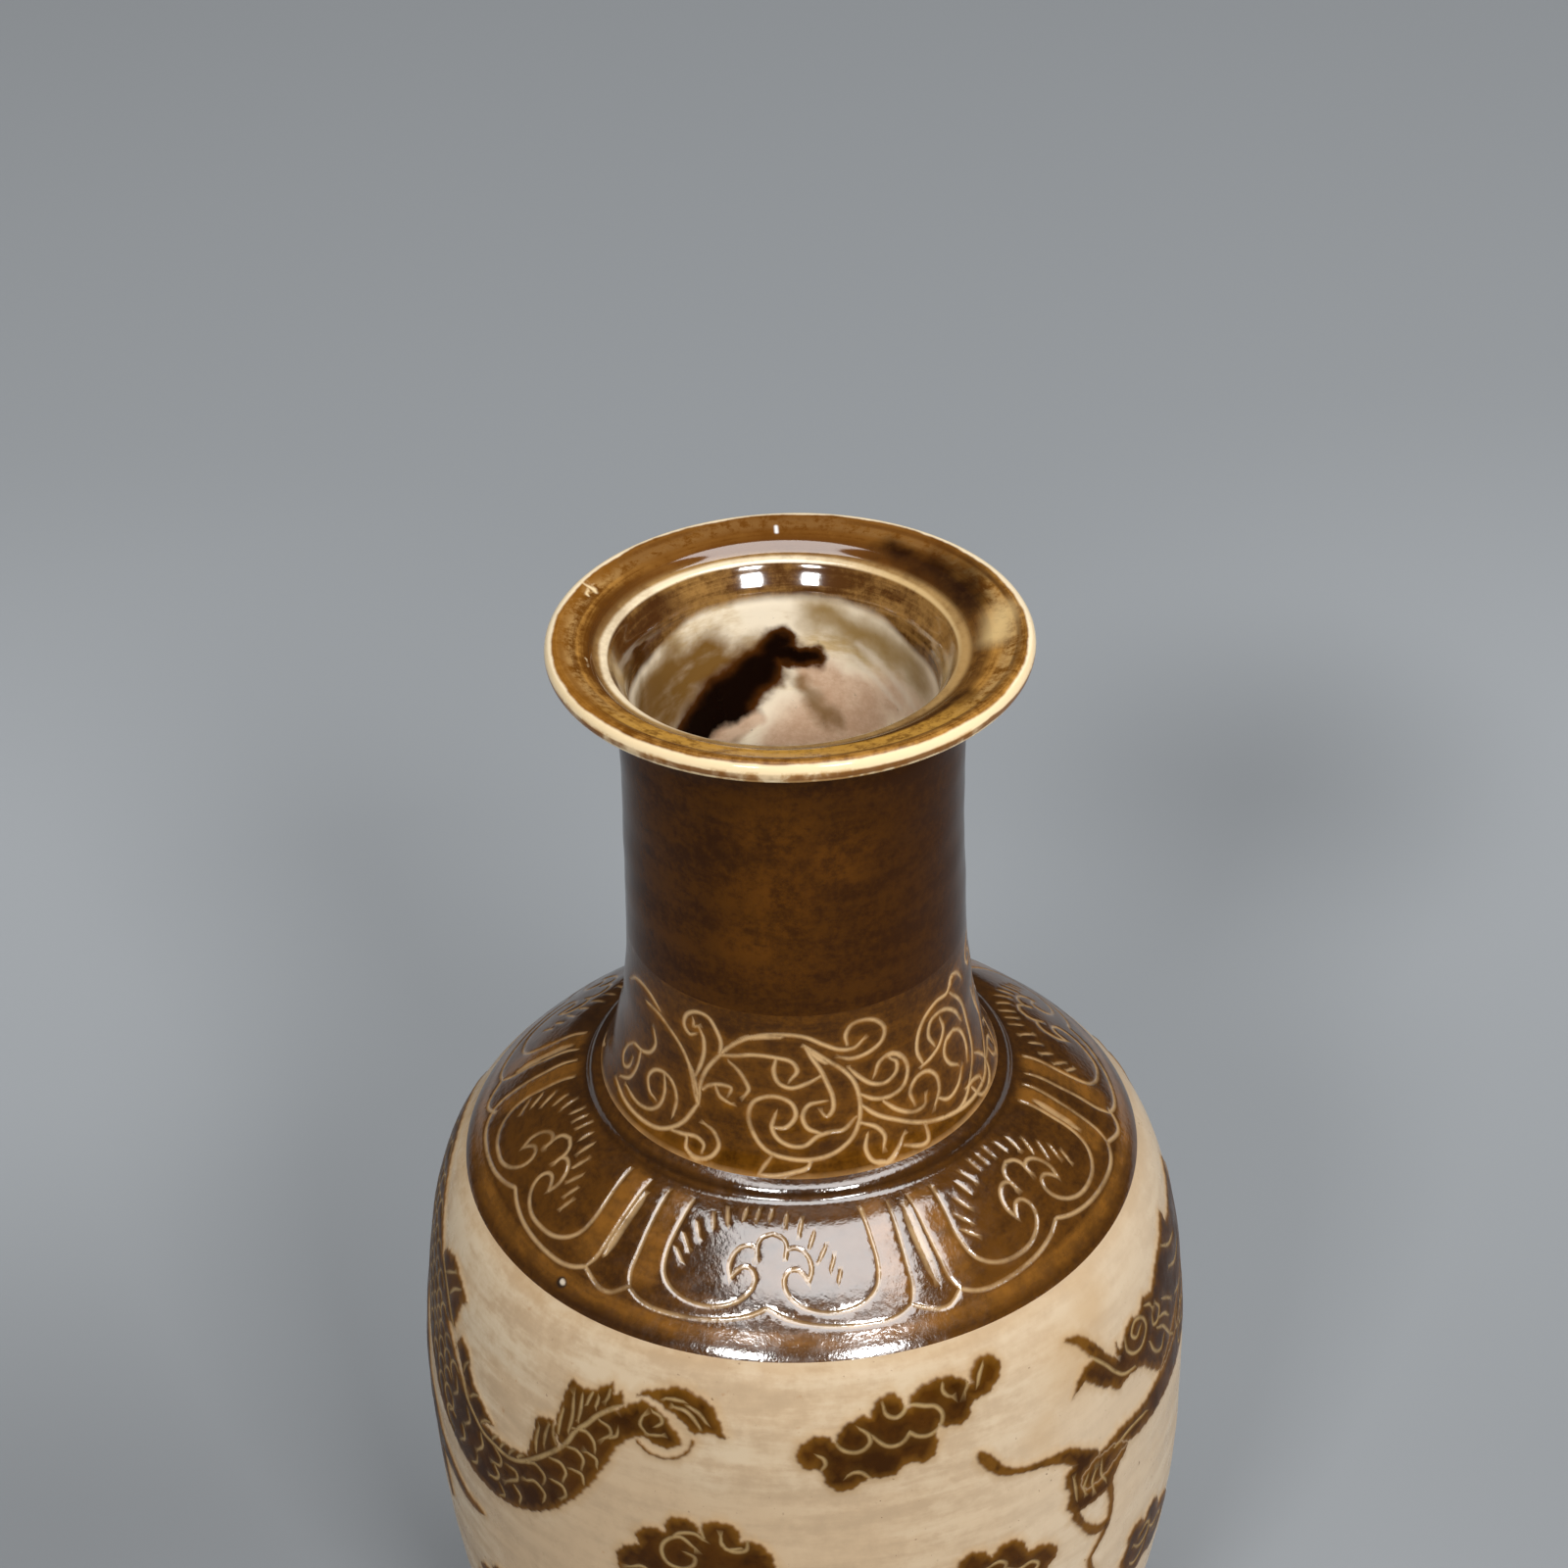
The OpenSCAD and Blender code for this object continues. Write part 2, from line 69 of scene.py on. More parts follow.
class BottleSizes(bpy.types.PropertyGroup):
    height: bpy.props.FloatProperty(
        name="Height", description="Height from the foot to the lip", unit="LENGTH",
        default=NODE_HIGH.z - NODE_LOW.z, min=0.2, max=0.5)
    line_width: bpy.props.FloatProperty(
        name="Line width", description="Half the width of the carved lines, in millimetres",
        default=0.36, min=0.2, max=1.0)
    line_depth: bpy.props.FloatProperty(
        name="Line depth", description="Depth of the carved lines, in millimetres",
        default=0.22, min=0.05, max=0.6)
    relief: bpy.props.FloatProperty(
        name="Relief", description="How far the dragon and the clouds stand out, in millimetres",
        default=0.42, min=0.1, max=1.0)
    mesh_step: bpy.props.FloatProperty(
        name="Mesh step", description="Distance between the points of a plain surface, in millimetres",
        default=1.3, min=0.8, max=4.0)
    turns: bpy.props.IntProperty(
        name="Steps round", description="Steps of the turned surfaces", default=480, min=96, max=720)


class BottleColours(bpy.types.PropertyGroup):
    dark: bpy.props.FloatVectorProperty(
        name="Dark glaze", description="Glaze where it lies thick", subtype="COLOR",
        default=(0.062, 0.021, 0.0022), min=0, max=1)
    brown: bpy.props.FloatVectorProperty(
        name="Brown glaze", description="Glaze at its usual thickness", subtype="COLOR",
        default=(0.145, 0.052, 0.0040), min=0, max=1)
    amber: bpy.props.FloatVectorProperty(
        name="Amber glaze", description="Glaze where it runs thin", subtype="COLOR",
        default=(0.36, 0.142, 0.018), min=0, max=1)
    cream: bpy.props.FloatVectorProperty(
        name="Cream lines", description="Clay that shows through the carved glaze", subtype="COLOR",
        default=(0.80, 0.52, 0.25), min=0, max=1)
    clay: bpy.props.FloatVectorProperty(
        name="Body clay", description="Cream slip of the body", subtype="COLOR",
        default=(0.46, 0.332, 0.206), min=0, max=1)
    tan: bpy.props.FloatVectorProperty(
        name="Stain", description="Faint orange stain on the slip", subtype="COLOR",
        default=(0.41, 0.255, 0.115), min=0, max=1)
    floor: bpy.props.FloatVectorProperty(
        name="Floor", description="Colour of the plain floor", subtype="COLOR",
        default=(0.318, 0.336, 0.354), min=0, max=1)


# ---------------------------------------------------------------- turned surfaces

# Rows of (distance down the surface, radius, height), in mm. The distance is 0 at the amber line
# under the scroll and at the shoulder's edge
NECK_ROWS = [
    (-96, 36, 317), (-85, 35.9, 306), (-73.2, 35.8, 294), (-49.2, 36.2, 270), (-30.2, 36.85, 251),
    (-25.2, 37.4, 246), (-17.1, 38.4, 238), (-9.9, 40.2, 231), (-4.7, 41.6, 226), (0, 43.6, 221.9)]
SHOULDER_ROWS = [
    (-4.7, 41.6, 226), (0, 43.6, 221.9), (0.7, 44.3, 221.6), (1.6, 45.3, 221.2), (2.6, 46.1, 220.4),
    (3.6, 46.6, 219.3), (4.3, 46.9, 218.6), (5.0, 47.6, 218.35), (9.95, 52.2, 216.9), (16.84, 58, 213.5),
    (24.28, 64, 209.2), (31.08, 69, 204.9), (33.2, 70.6, 203.45), (34.5, 71.5, 202.5),
    (35.7, 72.34, 201.64), (36.8, 73.12, 200.86), (37.4, 73.56, 200.44), (37.95, 73.97, 200.07),
    (38.4, 74.34, 199.78), (38.75, 74.62, 199.45), (39.3, 74.85, 198.8)]
BODY_ROWS = [
    (0, 74.6, 199.1), (3.61, 77.0, 196.5), (8.71, 79.5, 192), (12.98, 81.1, 188), (23.26, 83.5, 178),
    (37.39, 85.4, 164), (53.45, 86.8, 148), (68.45, 87.0, 133), (91.47, 86, 110), (106.57, 84.2, 95),
    (128.0, 80.0, 74), (153.0, 73.2, 50), (174.2, 65.7, 30), (198.5, 55.8, 8)]


def running(steps):
    """Running total of some steps, from 0."""
    return np.concatenate([[0], np.cumsum(steps)])


def gaps(points):
    """Distances from each point to the next."""
    return np.hypot(*np.diff(points, axis=0).T)


def halfway(values):
    return 0.5 * (values[1:] + values[:-1])


def curve(points, u, v):
    """A smooth curve that passes each point at its u, read at each v."""
    if len(points) > 2:
        slope = np.gradient(points, u, axis=0)
    else:
        slope = np.repeat(np.diff(points, axis=0) / (u[1] - u[0]), 2, axis=0)
    i = np.clip(np.searchsorted(u, v, side="right") - 1, 0, len(u) - 2)
    h = (u[i + 1] - u[i])[:, None]
    w = ((v - u[i]) / h[:, 0])[:, None]
    return ((2 * w**3 - 3 * w**2 + 1) * points[i] + (w**3 - 2 * w**2 + w) * h * slope[i]
            + (3 * w**2 - 2 * w**3) * points[i + 1] + (w**3 - w**2) * h * slope[i + 1])


def finely(u, parts):
    """Each span of u cut into equal parts."""
    return np.concatenate([np.linspace(a, b, parts, endpoint=False) for a, b in zip(u, u[1:])] + [u[-1:]])


def across(path):
    """Unit vectors square to a path at each of its points."""
    d = np.gradient(path, axis=0)
    return np.column_stack([-d[:, 1], d[:, 0]]) / np.maximum(np.hypot(*d.T), 1e-9)[:, None]


def read_at(want, at, points):
    """Points of a path, read at the wanted lengths along it."""
    return np.column_stack([np.interp(want, at, points[:, 0]), np.interp(want, at, points[:, 1])])


class Turned:
    """A surface turned about the bottle's axis, with its flat map of (angle, reach) that keeps shapes."""

    def __init__(self, rows, count=3000):
        rows = np.array(rows, float)
        self.t = np.linspace(rows[0, 0], rows[-1, 0], count)
        self.r, self.z = curve(rows[:, 1:], rows[:, 0], self.t).T
        dr, dz = np.gradient(self.r), np.gradient(self.z)
        length = np.hypot(dr, dz)
        self.out_r, self.out_z = -dz / length, dr / length
        self.q = running(np.hypot(np.diff(self.r), np.diff(self.z)) / halfway(self.r))

    def reach(self, t):
        return np.interp(t, self.t, self.q)

    def along(self, q):
        return np.interp(q, self.q, self.t)

    def radius(self, q):
        return np.interp(q, self.q, self.r)

    def place(self, angle, q, lift=0.0):
        """Points in metres at an angle in radians, 0 at the front and growing towards +X."""
        r = np.interp(q, self.q, self.r) + lift * np.interp(q, self.q, self.out_r)
        z = np.interp(q, self.q, self.z) + lift * np.interp(q, self.q, self.out_z)
        return np.column_stack([r * np.sin(angle), -r * np.cos(angle), z]) * MM

    def profile(self, start, end, count):
        """Evenly spread (radius, height) points from start to end."""
        return [(float(np.interp(t, self.t, self.r)), float(np.interp(t, self.t, self.z)))
                for t in np.linspace(start, end, count)]


def smooth_path(surface, path, spacing=0.5, closed=False):
    """Evenly spaced points in the flat map along a smooth curve through (degrees, mm) points.
    A point given twice in a row is a corner."""
    path = [tuple(p) for p in path]
    if closed:
        path = path + [path[0]]
    runs, run = [], [path[0]]
    for a, b in zip(path, path[1:]):
        if a == b:
            runs.append(run)
            run = [b]
        else:
            run.append(b)
    runs.append(run)
    loop = closed and len(runs) == 1
    out = []
    for run in runs:
        p = np.array(run, float)
        if len(p) < 2:
            continue
        xy = np.column_stack([np.radians(p[:, 0]), surface.reach(p[:, 1])])
        if loop:
            xy = np.vstack([xy[-4:-1], xy, xy[1:4]])
        u = running(np.maximum(gaps(xy), 1e-6) ** 0.5)
        fine = curve(xy, u, finely(u[3:-3] if loop else u, 16))
        length = running(gaps(fine) * halfway(surface.radius(fine[:, 1])))
        n = max(int(round(length[-1] / spacing)), 2)
        out.append(read_at(np.linspace(0, length[-1], n + 1), length, fine))
    return np.vstack([o if k == 0 else o[1:] for k, o in enumerate(out)])


def inside(polygon, points):
    """Whether each point of the flat map lies inside the polygon."""
    x, y = points[:, 0], points[:, 1]
    hit = np.zeros(len(points), bool)
    near = ((x >= polygon[:, 0].min()) & (x <= polygon[:, 0].max())
            & (y >= polygon[:, 1].min()) & (y <= polygon[:, 1].max()))
    px, py = x[near], y[near]
    got = np.zeros(near.sum(), bool)
    for a, b in zip(polygon, np.roll(polygon, -1, axis=0)):
        if a[1] != b[1]:
            cross = ((a[1] > py) != (b[1] > py)) & (px < (b[0] - a[0]) * (py - a[1]) / (b[1] - a[1]) + a[0])
            got ^= cross
    hit[near] = got
    return hit


class Carving:
    """The lines and raised shapes of one turned surface, gathered before its mesh is made."""

    def __init__(self, surface):
        self.surface = surface
        self.samples, self.widths, self.depths = [], [], []
        self.points = []
        self.shapes = []

    def line(self, path, width, depth, taper=True, spacing=0.5):
        """A carved line of half the given width, with mesh points at its middle, walls and banks."""
        p = smooth_path(self.surface, path, spacing)
        n = len(p)
        u = np.linspace(0, 1, n)
        w = np.full(n, float(width))
        if taper:
            w *= 0.45 + 0.55 * np.clip(np.minimum(u, 1 - u) * n * spacing / 2.5, 0, 1)
        self.samples.append(p)
        self.widths.append(w)
        self.depths.append(np.full(n, depth))
        self.points.append((p, np.zeros(n)))
        normal, r = across(p), self.surface.radius(p[:, 1])[:, None]
        for side in (-1, 1):
            for off in (w * 0.5, w, w + 0.32):
                self.points.append((p + side * normal * off[:, None] / r, off))

    def shape(self, outline, uneven=0.16, spacing=0.55):
        """A raised shape with a closed, slightly uneven outline."""
        p = smooth_path(self.surface, outline, spacing, closed=True)
        s = np.arange(len(p)) * spacing
        k = len(self.shapes)
        off = uneven * (np.sin(1.9 * s + 1.3 * k) + 0.8 * np.sin(3.7 * s + 2.1 * k + 1) + 0.6
                        * np.sin(0.8 * s + k))
        self.shapes.append(p + across(p) * off[:, None] / self.surface.radius(p[:, 1])[:, None])

    def gather(self):
        """Puts the lines and the shapes' visible edges into trees, for the nearest to be found."""
        edges = [np.zeros((0, 2))]
        for k, outline in enumerate(self.shapes):
            keep = np.ones(len(outline), bool)
            for j, other in enumerate(self.shapes):
                if j != k:
                    keep &= ~inside(other, outline)
            normal, r = across(outline), self.surface.radius(outline[:, 1])[:, None]
            edges.append(outline[keep])
            for off in (-0.5, -0.22, 0.0, 0.22, 0.5):
                self.points.append(((outline + normal * off / r)[keep], np.full(keep.sum(), abs(off))))
        self.widths, self.depths = np.concatenate(self.widths), np.concatenate(self.depths)
        self.line_tree, self.edge_tree = self._tree(np.vstack(self.samples)), self._tree(np.vstack(edges))

    @staticmethod
    def _tree(points):
        """A tree of the points and their copies one turn to each side, with the index of each."""
        tree = kdtree.KDTree(max(len(points) * 3, 1))
        for k, (x, y) in enumerate(points):
            for turn in (-1, 0, 1):
                tree.insert((x + turn * 2 * math.pi, y, 0.0), k)
        tree.balance()
        return tree if len(points) else None

    def nearest(self, tree, points):
        """Distance in mm and index of the nearest sample to each point of the map."""
        if tree is None:
            return np.full(len(points), FAR), np.zeros(len(points), int)
        got = [tree.find((x, y, 0.0)) for x, y in points]
        d = np.array([g[2] for g in got]) * self.surface.radius(points[:, 1])
        return d, np.array([g[1] for g in got])

    def clearance(self, points):
        """Distance in mm from each point to the nearest line or edge."""
        return np.minimum(self.nearest(self.line_tree, points)[0], self.nearest(self.edge_tree, points)[0])


def carved_mesh(name, carving, t0, t1, step, turns, lift, marks):
    """Makes a mesh of the surface from t0 to t1 with its points gathered along the carved lines.
    lift gives each point's height in mm, and marks its named values."""
    surface = carving.surface
    carving.gather()
    q0, q1 = surface.reach(t0), surface.reach(t1)
    middle = surface.radius(0.5 * (q0 + q1))
    gap = step / middle
    rows = max(int(round((q1 - q0) / (gap * 0.87))), 2)
    columns = max(int(round(2 * math.pi / gap)), 24)
    base = []
    for j in range(1, rows):
        q = q0 + (q1 - q0) * j / rows
        x = -math.pi + (np.arange(columns) + (0.5 if j % 2 else 0.0)) * 2 * math.pi / columns
        base.append(np.column_stack([x, np.full(columns, q)]))
    base = np.vstack(base)
    base = base[np.abs(base[:, 0]) < math.pi - 0.35 * gap]
    chosen = [base[carving.clearance(base) > 0.72 * step]]
    for p, off in carving.points:
        p = p.copy()
        p[:, 0] = (p[:, 0] + math.pi) % (2 * math.pi) - math.pi
        r = surface.radius(p[:, 1])
        ok = (np.abs(p[:, 0]) < math.pi - 0.25 / r) & (p[:, 1] > q0 + 0.3 / r) & (p[:, 1] < q1 - 0.3 / r)
        p, off = p[ok], off[ok]
        if off.size and off.max() > 0:
            p = p[carving.clearance(p) > off - 0.13]
        chosen.append(p)
    points = np.vstack(chosen)
    r = surface.radius(points[:, 1])
    cell = 0.2 / middle
    key = np.floor(points / cell).astype(np.int64)
    _, first = np.unique(key[:, 0] * 1000003 + key[:, 1], return_index=True)
    points = points[np.sort(first)]
    ring = -math.pi + np.arange(turns + 1) * 2 * math.pi / turns
    side = q0 + (q1 - q0) * np.arange(1, rows) / rows
    points = np.vstack([np.column_stack([ring, np.full(turns + 1, q0)]),
                        np.column_stack([ring, np.full(turns + 1, q1)]),
                        np.column_stack([np.full(rows - 1, -math.pi), side]),
                        np.column_stack([np.full(rows - 1, math.pi), side]), points])
    verts, _, faces, _, _, _ = delaunay_2d_cdt([Vector(p) for p in points * 100], [], [], 0, 1e-7)
    flat = np.array([(v.x, v.y) for v in verts]) / 100
    d, i = carving.nearest(carving.line_tree, flat)
    e, _ = carving.nearest(carving.edge_tree, flat)
    values = {"flat": flat, "t": surface.along(flat[:, 1]), "line": d, "index": i, "edge": e}
    height = lift(carving, values)
    mesh = bpy.data.meshes.new(name)
    mesh.from_pydata([tuple(p) for p in surface.place(flat[:, 0], flat[:, 1], height)], [],
                     [tuple(reversed(f)) for f in faces])
    for key, data in marks(carving, values).items():
        layer = mesh.attributes.new(key, "FLOAT", "POINT")
        layer.data.foreach_set("value", np.asarray(data, np.float32))
    weld = bmesh.new()
    weld.from_mesh(mesh)
    bmesh.ops.remove_doubles(weld, verts=weld.verts, dist=2e-6)
    for f in weld.faces:
        f.smooth = True
    weld.to_mesh(mesh)
    weld.free()
    piece = bpy.data.objects.new(name, mesh)
    bpy.context.scene.collection.objects.link(piece)
    return piece


def spun_piece(name, rows, turns):
    """Spins a profile of (radius, height) points in mm about the bottle's axis."""
    bpy.ops.object.select_all(action="DESELECT")
    mesh = bpy.data.meshes.new(name)
    mesh.from_pydata([(r * MM, 0, z * MM) for r, z in rows], [(k, k + 1) for k in range(len(rows) - 1)], [])
    piece = bpy.data.objects.new(name, mesh)
    bpy.context.scene.collection.objects.link(piece)
    bpy.context.view_layer.objects.active = piece
    piece.select_set(True)
    bpy.ops.object.mode_set(mode="EDIT")
    bpy.ops.mesh.select_all(action="SELECT")
    bpy.ops.mesh.spin(steps=turns, dupli=False, angle=2 * math.pi, center=(0, 0, 0), axis=(0, 0, 1))
    bpy.ops.mesh.select_all(action="SELECT")
    bpy.ops.mesh.remove_doubles(threshold=1e-6)
    bpy.ops.mesh.select_all(action="SELECT")
    bpy.ops.mesh.normals_make_consistent(inside=False)
    bpy.ops.object.mode_set(mode="OBJECT")
    bpy.ops.object.shade_smooth()
    piece.select_set(False)
    return piece


def rounded(rows, step):
    """A smooth run of points through given (radius, height) points, an even step apart."""
    p = np.array(rows, float)
    u = running(gaps(p) ** 0.5)
    fine = curve(p, u, finely(u, 24))
    length = running(gaps(fine))
    n = max(int(round(length[-1] / step)), 1)
    return [tuple(point) for point in read_at(np.linspace(0, length[-1], n + 1), length, fine)]


# ---------------------------------------------------------------- drawn ornament

# Scroll strokes as (degrees, mm from the amber line, upwards negative)
SCROLL_MIDDLE = [
    [(-33, -14), (-33, -18), (-31, -22), (-27, -26), (-24, -28.5), (-18, -31.7), (-12, -33.4), (-5, -33.9),
     (2, -33.2), (8, -31), (13, -29.3), (18, -29), (21, -30.4)],
    [(15.7, -30.2), (15.3, -32.5), (17.5, -34.8), (21.5, -35.3), (26, -34.3), (29, -31.7), (28, -29),
     (23.5, -27.2), (17, -26.6), (13, -27.4)],
    [(-26.5, -26.5), (-21, -27.3), (-15, -28.3), (-8, -28.2), (-2.5, -27.2), (-0.8, -25), (-3, -22.8)],
    [(-7.6, -27.6), (-8.3, -24.8), (-6.8, -22), (-3, -20.8), (2, -21.8), (6, -23.2)],
    [(2, -31), (8.5, -27.3), (13.5, -24.5), (17, -21.3), (18.7, -17), (18.3, -12.5), (15.5, -8.3),
     (10, -5.4),
     (3, -4.2), (-4, -4.6), (-10, -6), (-14, -9.2), (-16.2, -13.5), (-14.5, -17), (-8.5, -18.6),
     (-3, -17.2),
     (-1.5, -14.3), (-4.5, -11.6), (-8.2, -11.4)],
    [(-7.8, -14.5), (-8.8, -11.5), (-7, -9), (-3, -7.4), (1, -7.4), (5, -9.4), (9, -10.1), (12.8, -10.2),
     (16.8, -12.4)],
    [(2, -30.6), (4, -28), (6.6, -25), (8.6, -21.5), (10.2, -18), (10, -15), (8, -13.6), (6.6, -14.6)],
    [(7, -17.2), (2.6, -16.6), (0.6, -14), (2, -11.4), (6, -10)],
    [(-26.6, -26.6), (-26, -29.5), (-27.8, -32.4), (-31, -35), (-35.5, -35.2), (-39.5, -33.4),
     (-40.5, -30.8),
     (-38, -29), (-36, -29.6)],
    [(-34.6, -31.8), (-36.4, -31.4), (-36.6, -32.6)],
    [(-34, -31.2), (-32.6, -29.5), (-32.2, -26), (-33.4, -22.5), (-35, -19.5)],
    [(-33, -13.5), (-35, -10.8), (-37, -8.3), (-40.5, -5.7), (-46, -3.4), (-54, -2.7), (-63, -3),
     (-71, -4.2)],
    [(-35.6, -4.8), (-35, -2.3), (-31.5, -1.1), (-27, -2.2), (-24.8, -5.3), (-27, -8.2), (-30, -9.2)],
    [(-32.2, -16.7), (-30, -18.3), (-25.6, -19.4), (-22.2, -19.2), (-22.6, -17.8)],
    [(-27.6, -18.6), (-26, -16.6), (-22.2, -15.4)],
    [(-23.3, -25.6), (-20.4, -24.2), (-18, -22.1), (-16.4, -19.6), (-17.6, -18)],
    [(-8.9, -4.6), (-10.8, -2.5), (-12.2, -0.6)],
    [(2.8, -4.2), (1.7, -2.5), (-2.2, -1.5), (-7.8, -0.6), (-12.2, -0.6)],
    [(-41.1, -4.6), (-36.6, -5.1), (-32.2, -5.6), (-29.6, -4.4), (-29.8, -2.9)],
]
SCROLL_LEFT = [
    [(-34.5, -14.5), (-36.2, -18.5), (-38.5, -22.3), (-42, -25.4), (-47, -27.8), (-53, -29.4),
     (-60, -29.6)],
    [(-52, -30.3), (-58, -32.2), (-64, -32.6), (-70, -31.6), (-75, -29.2)],
    [(-41.7, -8), (-41.2, -12), (-43.8, -15.3), (-48, -16.3), (-52.5, -15.2), (-54.8, -12.5), (-52.8, -9.8),
     (-50.4, -9.2)],
    [(-47.5, -15.4), (-46.4, -12), (-47.5, -8.6), (-51, -6.2), (-57, -5.2), (-65, -6)],
    [(-54.5, -24.5), (-53.2, -21.6), (-55.5, -18.6), (-60, -17), (-66, -16.4), (-69.5, -14.6)],
    [(-61, -16.6), (-61.5, -12.5), (-64, -8.6), (-70, -6)],
    [(-66, -16.5), (-70, -14), (-71.5, -11), (-69.5, -9.2), (-66, -10.5), (-65, -13)],
]
SCROLL_RIGHT = [
    [(16, -24.4), (19.5, -21.5), (23.5, -19.2), (28, -18.5), (32, -20), (32.6, -22.4), (30.5, -23.8)],
    [(24.5, -21.3), (26.5, -24), (31, -25), (35, -23), (36.6, -19.6), (34.5, -16.3), (29.5, -15),
     (23.5, -15.6), (19.5, -17.3)],
    [(19, -15), (23.5, -12), (30, -9.2), (38, -6.2), (46, -4.3), (54, -3.4), (60, -5), (65, -8),
     (69, -11.5),
     (70.5, -16), (69.5, -21), (66.5, -25.5), (61, -29.5)],
    [(26.7, -14.2), (31, -11.3), (36.5, -9.3), (40.7, -9.6), (41.6, -11.2)],
    [(37, -11), (36.2, -14), (39.3, -16.3), (44, -16.5), (47.5, -14.2), (47.5, -11), (44.5, -8)],
    [(46.2, -9.2), (50.5, -7.4), (56, -8.3), (60, -11)],
    [(58.5, -12.4), (54.6, -14.4), (53.3, -17.2), (55.8, -20.2), (60.5, -20.4), (64.8, -18), (66, -14.5),
     (64, -11)],
    [(43, -18.7), (41, -22.5), (42.3, -26.3), (46, -29.3), (52, -31), (59, -30.8), (62, -33.5), (67, -32.3),
     (70.5, -29.5)],
    [(42.5, -18.2), (47, -18.9), (51.6, -20.4), (54.3, -23.4), (53.2, -26.3)],
    [(48.8, -21.4), (46.6, -24.4), (48.3, -27.3), (52.5, -28), (57, -27.2), (62, -24.6), (66, -20.5)],
    [(19, -10.8), (23, -9.2), (25.4, -6.6), (24.6, -4.2)],
    [(20, -8), (19, -4.8), (20.6, -1.8), (24.5, -0.8), (28.5, -2.6), (31.5, -5.2)],
    [(31.1, -2.9), (36.5, -1.3), (38.8, -1.6), (39.6, -3.3), (39.4, -5.6)],
    [(59.5, -5.8), (65, -5.6), (68.9, -4.2), (68.4, -2.8)],
    [(62.5, -4.6), (65, -1.4), (69.6, -0.8), (75, -2.4), (76.7, -5), (73.3, -8.3), (70, -10)],
]
# Thick places in the scroll where two lines run together
SCROLL_THICK = [
    [(-33.2, -13), (-34.6, -16.5), (-36.6, -20), (-38.8, -22.6)],
    [(-22, -30), (-16.5, -32.3), (-11, -33.2), (-6, -33.2)],
    [(3, -29.9), (5.6, -28.2), (8.6, -26.4)],
    [(-34.3, -1.9), (-31.6, -0.9), (-28, -1.5)],
    [(22, -1.4), (25, -0.7), (27.4, -1.5)],
    [(56, -19.9), (59.5, -20.6), (62.5, -19.8)],
    [(61, -31.5), (61.6, -33.2), (63, -33)],
    [(29, -24.6), (32.4, -24.6), (34.6, -23)],
]

# One lappet's right half, as (degrees from its middle, mm from the amber line)
LAPPET_LOBE = [(0.2, 28.5), (0.2, 28.5), (3, 30.2), (7, 31.5), (11, 32.2), (16, 32.6), (20.5, 32.5),
               (23, 31.8), (25.3, 30.4)]
LAPPET_LINK = [(25.3, 30.4), (28, 32), (30.2, 32.9), (32.2, 32.6), (34.7, 30.4)]
LAPPET_SIDE = [(25.3, 30.4), (26.4, 27), (26.7, 22), (27, 16), (27.3, 7.5)]
LAPPET_VOLUTE = [
    (20.5, 7.5), (21, 14), (21.2, 20), (20.3, 24.5), (18.5, 27), (15.5, 28.8), (11.5, 29.5), (8, 28.8),
    (5, 27), (3.2, 24.5), (2.8, 22), (3.8, 20.2), (5.3, 20), (6.6, 21.2), (7.4, 22.6)]
LAPPET_FRINGE = [(7.4, 22.6), (7.4, 22.6), (8.1, 20), (7.6, 17.5), (6.3, 15.8), (4.5, 15.2), (3.1, 16),
                 (2.9, 17.5)]
LAPPET_CROWN = [(3.0, 16.4), (3.0, 14.6), (2.1, 13.1), (0, 12.2)]
DASHES = [
    ((-19.5, 19), (-17.5, 21.3)), ((-19.2, 15.5), (-17.2, 18.2)), ((-17.3, 12.3), (-15.7, 15.3)),
    ((-14.3, 9.7), (-13.3, 12.8)), ((-11.3, 8.1), (-10.4, 11.1)), ((-7, 6.9), (-7.1, 9.5)),
    ((-3.9, 6.6), (-4.1, 9.1)), ((-0.8, 6.7), (-1.1, 9.2)), ((2.8, 7.6), (2.6, 10.4)),
    ((6.3, 8.9), (5.7, 12.2)), ((9, 11.9), (7.8, 15.4)), ((11.3, 15), (9.7, 18.2)),
    ((12.7, 17.8), (11.8, 20.3)), ((13.7, 20.7), (13, 23))]
GOUGES = [
    ((-39, 10.5), (-39.4, 18), (-39.8, 26), 1.15), ((24.3, 9.5), (24.2, 17), (24.6, 26.5), 1.5),
    ((76, 10.5), (75.8, 16), (75.8, 22), 1.2), ((142, 10), (141.6, 17), (141.6, 24), 1.2),
    ((-101, 10), (-100.6, 17), (-100.4, 25), 1.3), ((-159, 11), (-158.8, 17), (-158.8, 24), 1.0)]

